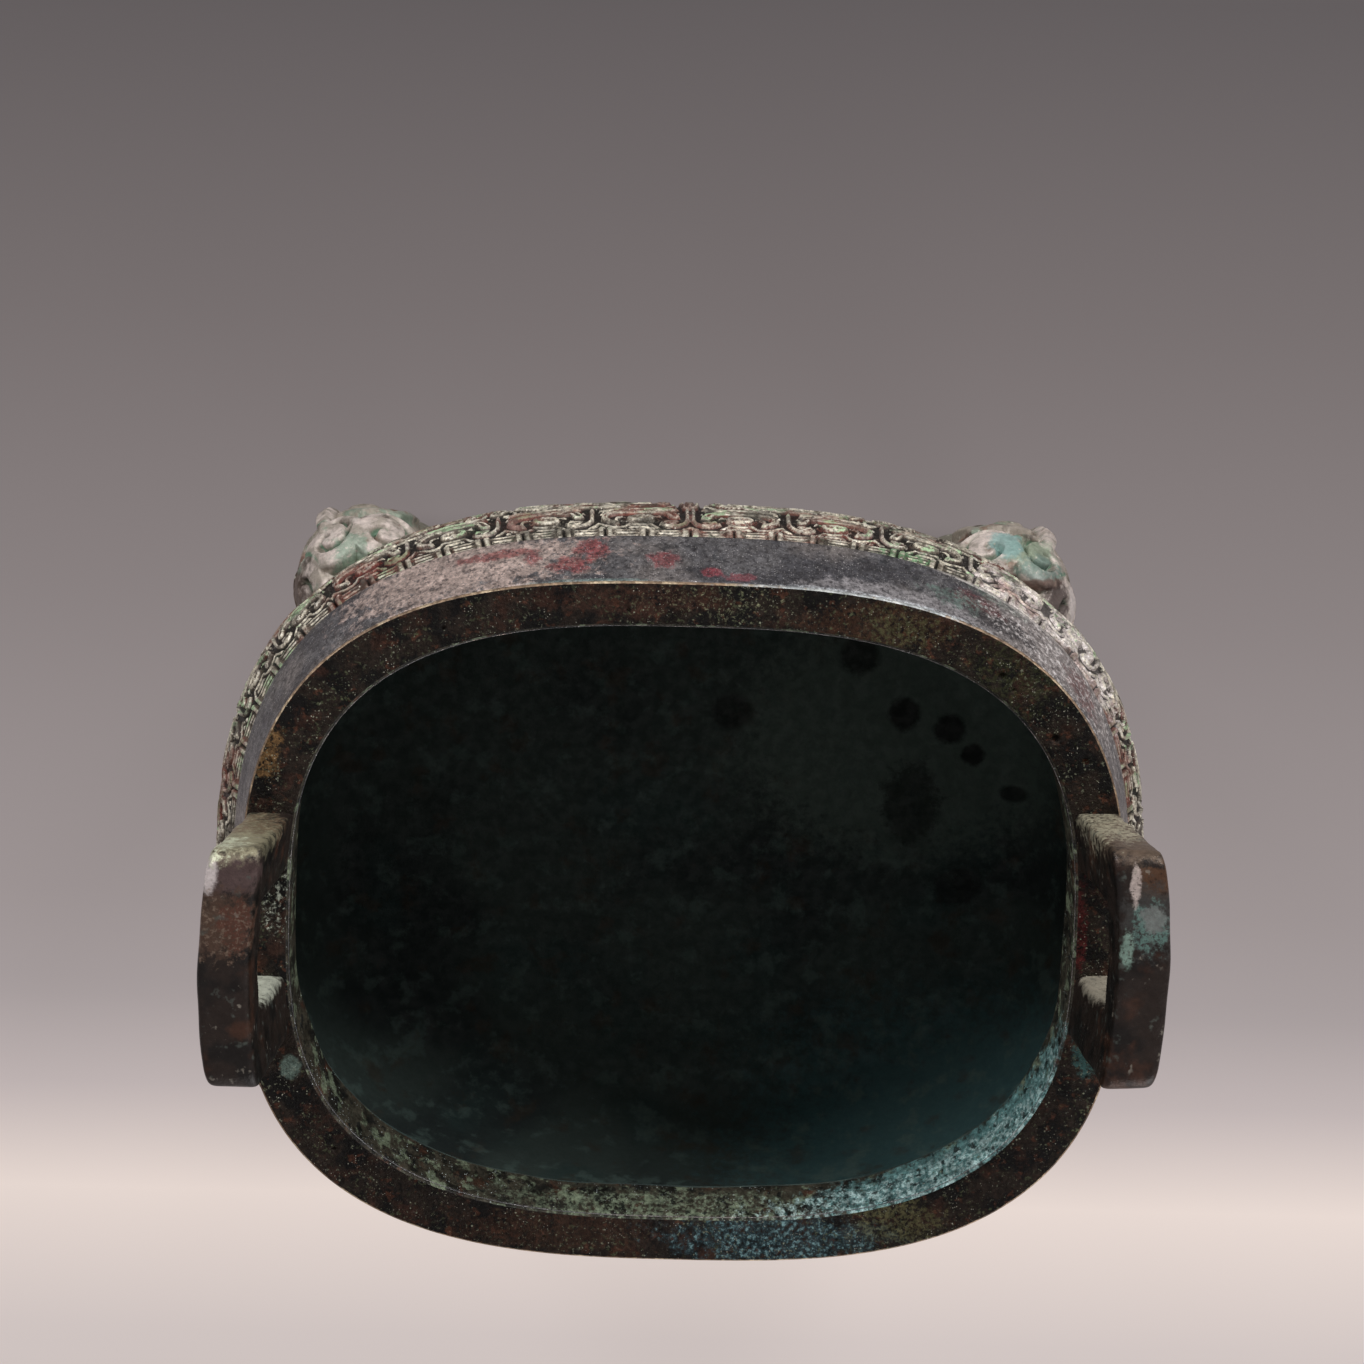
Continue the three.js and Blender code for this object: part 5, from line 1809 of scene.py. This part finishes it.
@dataclass
class MaskedLeg:
    """A leg: a banded column that grows into a beast's mask under the bowl's corner.

    In its own frame X points outward along the diagonal, Y round it, and the column stands on the origin.
    """

    name: str
    side_x: int
    side_y: int
    mask: BeastMask = field(default_factory=BeastMask)
    axis_x: float = 59.9
    axis_y: float = 45.0
    sole_radius: float = 9.2
    waist_radius: float = 8.2
    sole_edge: float = 4.0
    sole_round: float = 0.8
    waist_height: float = 11.0
    band_radius: float = 9.3
    band_start: float = 27.0
    band_height: float = 2.6
    band_pitch: float = 4.2
    bore_radius: float = 5.4
    bore_columns: int = 32
    sole_wall: float = 8.0
    bore_top: float = 66.0
    lean: Range = (36.0, 58.0)
    column_top: float = 68.0
    blend: float = 1.4
    face_foot: Range = (40.0, 45.0)
    face_side: Range = (2.6, 2.0)
    unevenness: float = 0.15
    wave: float = 9.0
    seed: int = 31
    wave_foot: Range = (0.0, 3.0)
    seat: float = 1.0
    columns: int = 250
    rows: int = 190
    crowding: float = 0.28
    foot_levels: tuple[float, ...] = (0.0, 0.25, 0.55, 0.8)
    column_start: float = 1.2
    column_rows: int = 69

    def column(self, height: Array) -> Array:
        """The column's radius: a flared sole, a waist and two rounded bands.

        Args:
            height: heights over the sole.

        Returns:
            The radius at each height.
        """
        flare = smooth(self.waist_height, self.sole_edge, height)
        radius = mix(self.waist_radius, self.sole_radius, flare)
        for number in range(2):
            middle = self.band_start + number * self.band_pitch + self.band_height / 2
            gap = np.clip(np.abs(height - middle) / (self.band_height / 2), 0, 1)
            radius = radius + (self.band_radius - self.waist_radius) * np.sqrt(1 - gap**2)
        edge = np.clip(1 - height / self.sole_round, 0, 1)
        return radius - self.sole_round * (1 - np.sqrt(1 - edge**2))

    def reach(self, turn: Array, centre: Array, middle: float, radius: Array) -> Array:
        """How far a circle reaches from a centre inside it, at each angle.

        Args:
            turn: the angles.
            centre: where along X the centres lie.
            middle: where along X the circle's middle lies.
            radius: its radius.

        Returns:
            The reach at each angle.
        """
        offset = middle - centre
        inside = radius**2 - (offset * np.sin(turn)) ** 2
        return offset * np.cos(turn) + np.sqrt(np.maximum(inside, 0))

    def plain(self) -> tuple[Array, Array, Array]:
        """The leg without its face: the column and the head, with a soft blend where they meet.

        The columns crowd towards the face. A row's centre moves from the column's axis to the head's, and its
        reach is the smooth maximum of both.

        Returns:
            The points in the leg's own frame, and their angles and heights.
        """
        mask = self.mask
        spread = np.linspace(-1, 1, self.columns, endpoint=False)
        turn = np.pi * ((1 - self.crowding) * spread + self.crowding * spread**3)
        straight = np.linspace(self.column_start, mask.foot, self.column_rows + 1)[:-1]
        low = np.concatenate([self.foot_levels, straight])
        rise = np.sin(np.linspace(0, QUARTER, self.rows - len(low) + 1))[:-1]
        level = np.concatenate([low, mix(mask.foot, mask.top, rise)])
        height = np.broadcast_to(level[:, None], (len(level), self.columns))
        turn = np.broadcast_to(turn[None], height.shape)
        centre = mask.shift * smooth(*self.lean, height)
        column = self.reach(turn, centre, 0.0, np.maximum(self.column(height), 0))
        column = np.where(height > self.column_top, 0, column)
        head = self.reach(turn, centre, mask.shift, mask.head(height, self.waist_radius))
        radius = self.blend * np.logaddexp(column / self.blend, head / self.blend)
        local = np.stack([centre + radius * np.cos(turn), radius * np.sin(turn), height], axis=-1)
        return local, turn, height

    def build(self) -> bpy.types.Object:
        """Builds the leg's skin and the bore inside it, and seats it against the belly.

        Returns:
            The piece.
        """
        local, turn, height = self.plain()
        rise, hollow, crest = self.mask.relief(local, turn, height)
        amount = smooth(*self.face_foot, height) * smooth(*self.face_side, np.abs(turn))
        outward = normals_of(local)
        row = self.rows // 3
        outward *= np.sign((outward[row] * (local[row] - [self.mask.shift, 0, 0])).sum())
        local += outward * (rise * amount)[..., None]
        steady = smooth(*self.wave_foot, height)[..., None]
        local += self.unevenness * wobble(local, self.wave, self.seed) * steady
        points, faces = turned(FORM.outside(self.placed(local), self.seat))
        bore, bore_faces = self.bore(len(points))
        marks = {}
        for key, values in (("recess", hollow * amount), ("crest", crest * amount)):
            marks[key] = np.concatenate([values.ravel(), np.zeros(2 + len(bore))])
        points = np.concatenate([points, bore])
        looks = [Finish.LEG.look]
        piece = make_piece(self.name + "_skin", points, faces + bore_faces, looks, marks)
        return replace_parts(piece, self.name)

    def placed(self, local: Array) -> Array:
        """Carries points from the leg's own frame to its corner, mirrored where its hand is -1.

        Args:
            local: points in the leg's own frame.

        Returns:
            The points in the burner's frame.
        """
        angle = math.atan2(self.side_y * FORM.mouth_length, self.side_x * FORM.mouth_width)
        cosine, sine = math.cos(angle), math.sin(angle)
        across = local[..., 1] * self.side_x * self.side_y
        x = self.side_x * self.axis_x + local[..., 0] * cosine - across * sine
        y = self.side_y * self.axis_y + local[..., 0] * sine + across * cosine
        return np.stack([x, y, local[..., 2]], axis=-1)

    def bore(self, first: int) -> tuple[Array, list[Array]]:
        """The closed hollow inside the leg, facing inwards, with its vertices numbered from first.

        Args:
            first: the number of its first vertex.

        Returns:
            Its points and its faces.
        """
        turn = np.linspace(0, TURN, self.bore_columns, endpoint=False)
        x, y = self.bore_radius * np.cos(turn), self.bore_radius * np.sin(turn)
        rings = [np.stack([x, y, np.full_like(turn, height)], axis=-1)
                 for height in (self.sole_wall, self.bore_top)]
        points, faces = turned(self.placed(np.stack(rings)))
        return points, [part[:, ::-1] + first for part in faces]


# Stage


@dataclass(frozen=True)
class PhotoCamera:
    """The photograph's camera, fitted to the lip, the belly and the ears.

    It looks down into the mouth from a tilt towards +Y; its angles are in degrees, lengths in mm, and the
    focal length and the mouth's middle in pixels of a square image.
    """

    tilt: float = 10.0
    yaw: float = 0.86
    roll: float = -1.66
    distance: float = 1091.0
    focal: float = 5677.0
    image: float = 1364.0
    mouth_u: float = 681.9
    mouth_v: float = 925.3
    sensor: float = 36.0
    farthest: float = 50.0

    def build(self) -> None:
        """Places the camera over the mouth's middle and makes it the scene's camera."""
        turn = Matrix.Identity(3)
        for angle, axis in ((self.roll, "Z"), (self.tilt, "X"), (self.yaw, "Y")):
            turn = turn @ Matrix.Rotation(math.radians(angle), 3, axis)
        right = (self.mouth_u - self.image / 2) * self.distance / self.focal
        up = -(self.mouth_v - self.image / 2) * self.distance / self.focal
        back = turn.transposed()
        place = back @ Vector((-right, -up, self.distance)) + Vector((0, 0, FORM.lip_height))
        data = bpy.data.cameras.new("photo_camera")
        data.sensor_width = self.sensor
        data.lens = self.focal / self.image * self.sensor
        data.clip_end = self.farthest
        camera = bpy.data.objects.new("photo_camera", data)
        bpy.context.scene.collection.objects.link(camera)
        camera.matrix_world = Matrix.Translation(place * MM) @ back.to_4x4()
        bpy.context.scene.camera = camera


@dataclass(frozen=True)
class Lamp:
    """A soft square lamp that looks at a point; lengths in metres, power in watts."""

    name: str
    place: Triple
    target: Triple
    size: float
    power: float

    def build(self) -> None:
        """Adds the lamp to the scene."""
        data = bpy.data.lights.new(self.name, "AREA")
        data.shape = "SQUARE"
        data.size = self.size
        data.energy = self.power
        lamp = bpy.data.objects.new(self.name, data)
        bpy.context.scene.collection.objects.link(lamp)
        direction = Vector(self.target) - Vector(self.place)
        lamp.location = self.place
        lamp.rotation_euler = direction.to_track_quat("-Z", "Y").to_euler()


@dataclass(frozen=True)
class Studio:
    """The pale floor, the lamps and the grey world round them.

    The floor's tone changes along Y as painted light and shade: a pale painted pool of light in front of the
    burner and darker painted shade behind it; the tones give it, at places in mm. Part of what shows of the
    floor is light of its own, less of it near than far, both in metres. Under the burner, within two half
    lengths in mm, its brightness comes mostly from the lamps, so the burner stands in its shadow.
    """

    far_tone: Colour = paint(150, 142, 142)
    # Painted light and shade on the floor: pale in front of the burner, darker behind it.
    tones: tuple[tuple[float, Colour], ...] = (
        (-420, paint(170, 162, 161)), (-240, paint(196, 187, 184)), (-130, paint(210, 199, 196)),
        (-97, paint(232, 218, 211)), (-74, paint(192, 181, 180)), (-52, paint(166, 157, 157)),
        (-30, paint(156, 147, 147)), (36, paint(135, 127, 127)), (100, paint(116, 109, 109)),
        (170, paint(95, 90, 91)), (260, paint(98, 93, 93)), (600, paint(150, 142, 142)),
    )
    lit_share: float = 0.35
    under: Pair = (76.0, 57.0)
    under_edge: Range = (0.8, 1.0)
    under_own: float = 0.1
    own_light: float = 1.25
    near: float = 0.225
    far: float = 0.5
    half_floor: float = 6.0
    world_light: float = 0.4
    lamps: tuple[Lamp, ...] = (
        Lamp("right_key_lamp", (0.75, 1.05, 0.68), (0, 0, 0.13), 0.5, 12),
        Lamp("left_key_lamp", (-0.9, 0.95, 0.62), (0, 0, 0.13), 0.5, 9.5),
        Lamp("front_lamp", (0.6, -1.2, 0.42), (0, 0, 0.13), 0.9, 10),
    )

    def shown(self, graph: Graph) -> Socket:
        """1 on the rays that show the stage: from the camera, mirrored, or through glass.

        Args:
            graph: the floor's or the world's nodes.

        Returns:
            The value.
        """
        path = graph.add("ShaderNodeLightPath")
        straight = graph.sum("MAXIMUM", path.outputs["Is Camera Ray"], path.outputs["Is Glossy Ray"])
        return graph.sum("MAXIMUM", straight, path.outputs["Is Transmission Ray"])

    def floor(self) -> None:
        """Lays the floor: a sheet whose shown brightness is partly its own, so that it keeps a shadow."""
        graph = Graph(bpy.data.materials.new("pale_floor"))
        split = graph.add("ShaderNodeSeparateXYZ", {0: graph.place})
        # The ramp along Y paints light and shade on the floor: a pale pool in front, darker behind.
        start, end = self.tones[0][0], self.tones[-1][0]
        along = graph.add("ShaderNodeMapRange", {0: split.outputs[1], 1: start * MM, 2: end * MM})
        ramp = graph.add("ShaderNodeValToRGB", {0: along.outputs[0]})
        stops = ramp.color_ramp.elements
        for place, tone in self.tones[1:-1]:
            stops.new((place - start) / (end - start)).color = tone
        stops[0].color, stops[-1].color = self.tones[0][1], self.tones[-1][1]
        distance = graph.vector("LENGTH", graph.place).outputs["Value"]
        away = graph.above(distance, self.near, self.far)
        tone = graph.blend(away, ramp.outputs[0], self.far_tone)
        shown = graph.sum("MULTIPLY", self.shown(graph), self.own_light)
        glow = graph.add("ShaderNodeEmission", {"Color": tone, "Strength": shown})
        flat = graph.add("ShaderNodeBsdfDiffuse", {"Color": tone})
        own = graph.above(distance, self.near, self.far, 1 - self.lit_share, 1.0)
        aside = [graph.sum("DIVIDE", graph.sum("ABSOLUTE", split.outputs[axis]), self.under[axis] * MM)
                 for axis in (0, 1)]
        beside = graph.above(graph.sum("MAXIMUM", *aside), *self.under_edge, self.under_own, 1.0)
        own = graph.sum("MULTIPLY", own, beside)
        both = graph.add("ShaderNodeMixShader", {0: own, 1: flat.outputs[0], 2: glow.outputs[0]})
        graph.add("ShaderNodeOutputMaterial", {"Surface": both.outputs[0]})
        mesh = bpy.data.meshes.new("floor")
        corners = ((-1, -1), (1, -1), (1, 1), (-1, 1))
        points = [(x * self.half_floor, y * self.half_floor, 0) for x, y in corners]
        mesh.from_pydata(points, [], [range(len(corners))])
        mesh.materials.append(graph.owner)
        sheet = bpy.data.objects.new("floor", mesh)
        bpy.context.scene.collection.objects.link(sheet)

    def sky(self) -> None:
        """Sets the world: a dim grey light that shows in the floor's far tone."""
        world = bpy.data.worlds.new("studio")
        bpy.context.scene.world = world
        graph = Graph(world)
        limits = {0: self.shown(graph), 3: self.world_light, 4: self.own_light}
        level = graph.add("ShaderNodeMapRange", limits).outputs[0]
        back = graph.add("ShaderNodeBackground", {"Color": self.far_tone, "Strength": level})
        graph.add("ShaderNodeOutputWorld", {"Surface": back.outputs[0]})

    def build(self) -> None:
        """Sets the floor, the world and the lamps."""
        self.floor()
        self.sky()
        for lamp in self.lamps:
            lamp.build()
        bpy.context.scene.view_settings.view_transform = "Standard"


# The burner


@dataclass
class Burner:
    """The whole incense burner."""

    frame: dict

    def build(self) -> None:
        """Builds the bowl, its ears and its legs."""
        for side in Side:
            Belly().build(side)
        Lip().build()
        Wall().build()
        Ear("right_ear", 0.0).build()
        Ear("left_ear", math.pi).build()
        for end, side_y in (("front", -1), ("back", 1)):
            for side, side_x in (("left", -1), ("right", 1)):
                MaskedLeg(f"{end}_{side}_leg", side_x, side_y).build()
        clay = FiredClay().material()
        for name, node in self.frame["nodes"].items():
            if name.endswith("_core"):
                node.data.materials.clear()
                node.data.materials.append(clay)


def main() -> None:
    """Loads the frame, builds the burner in order and sets the stage."""
    logging.basicConfig(level=logging.INFO, format="%(name)s %(message)s")
    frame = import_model()
    PhotoCamera().build()
    Studio().build()
    Burner(frame).build()


if __name__ == "__main__":
    main()
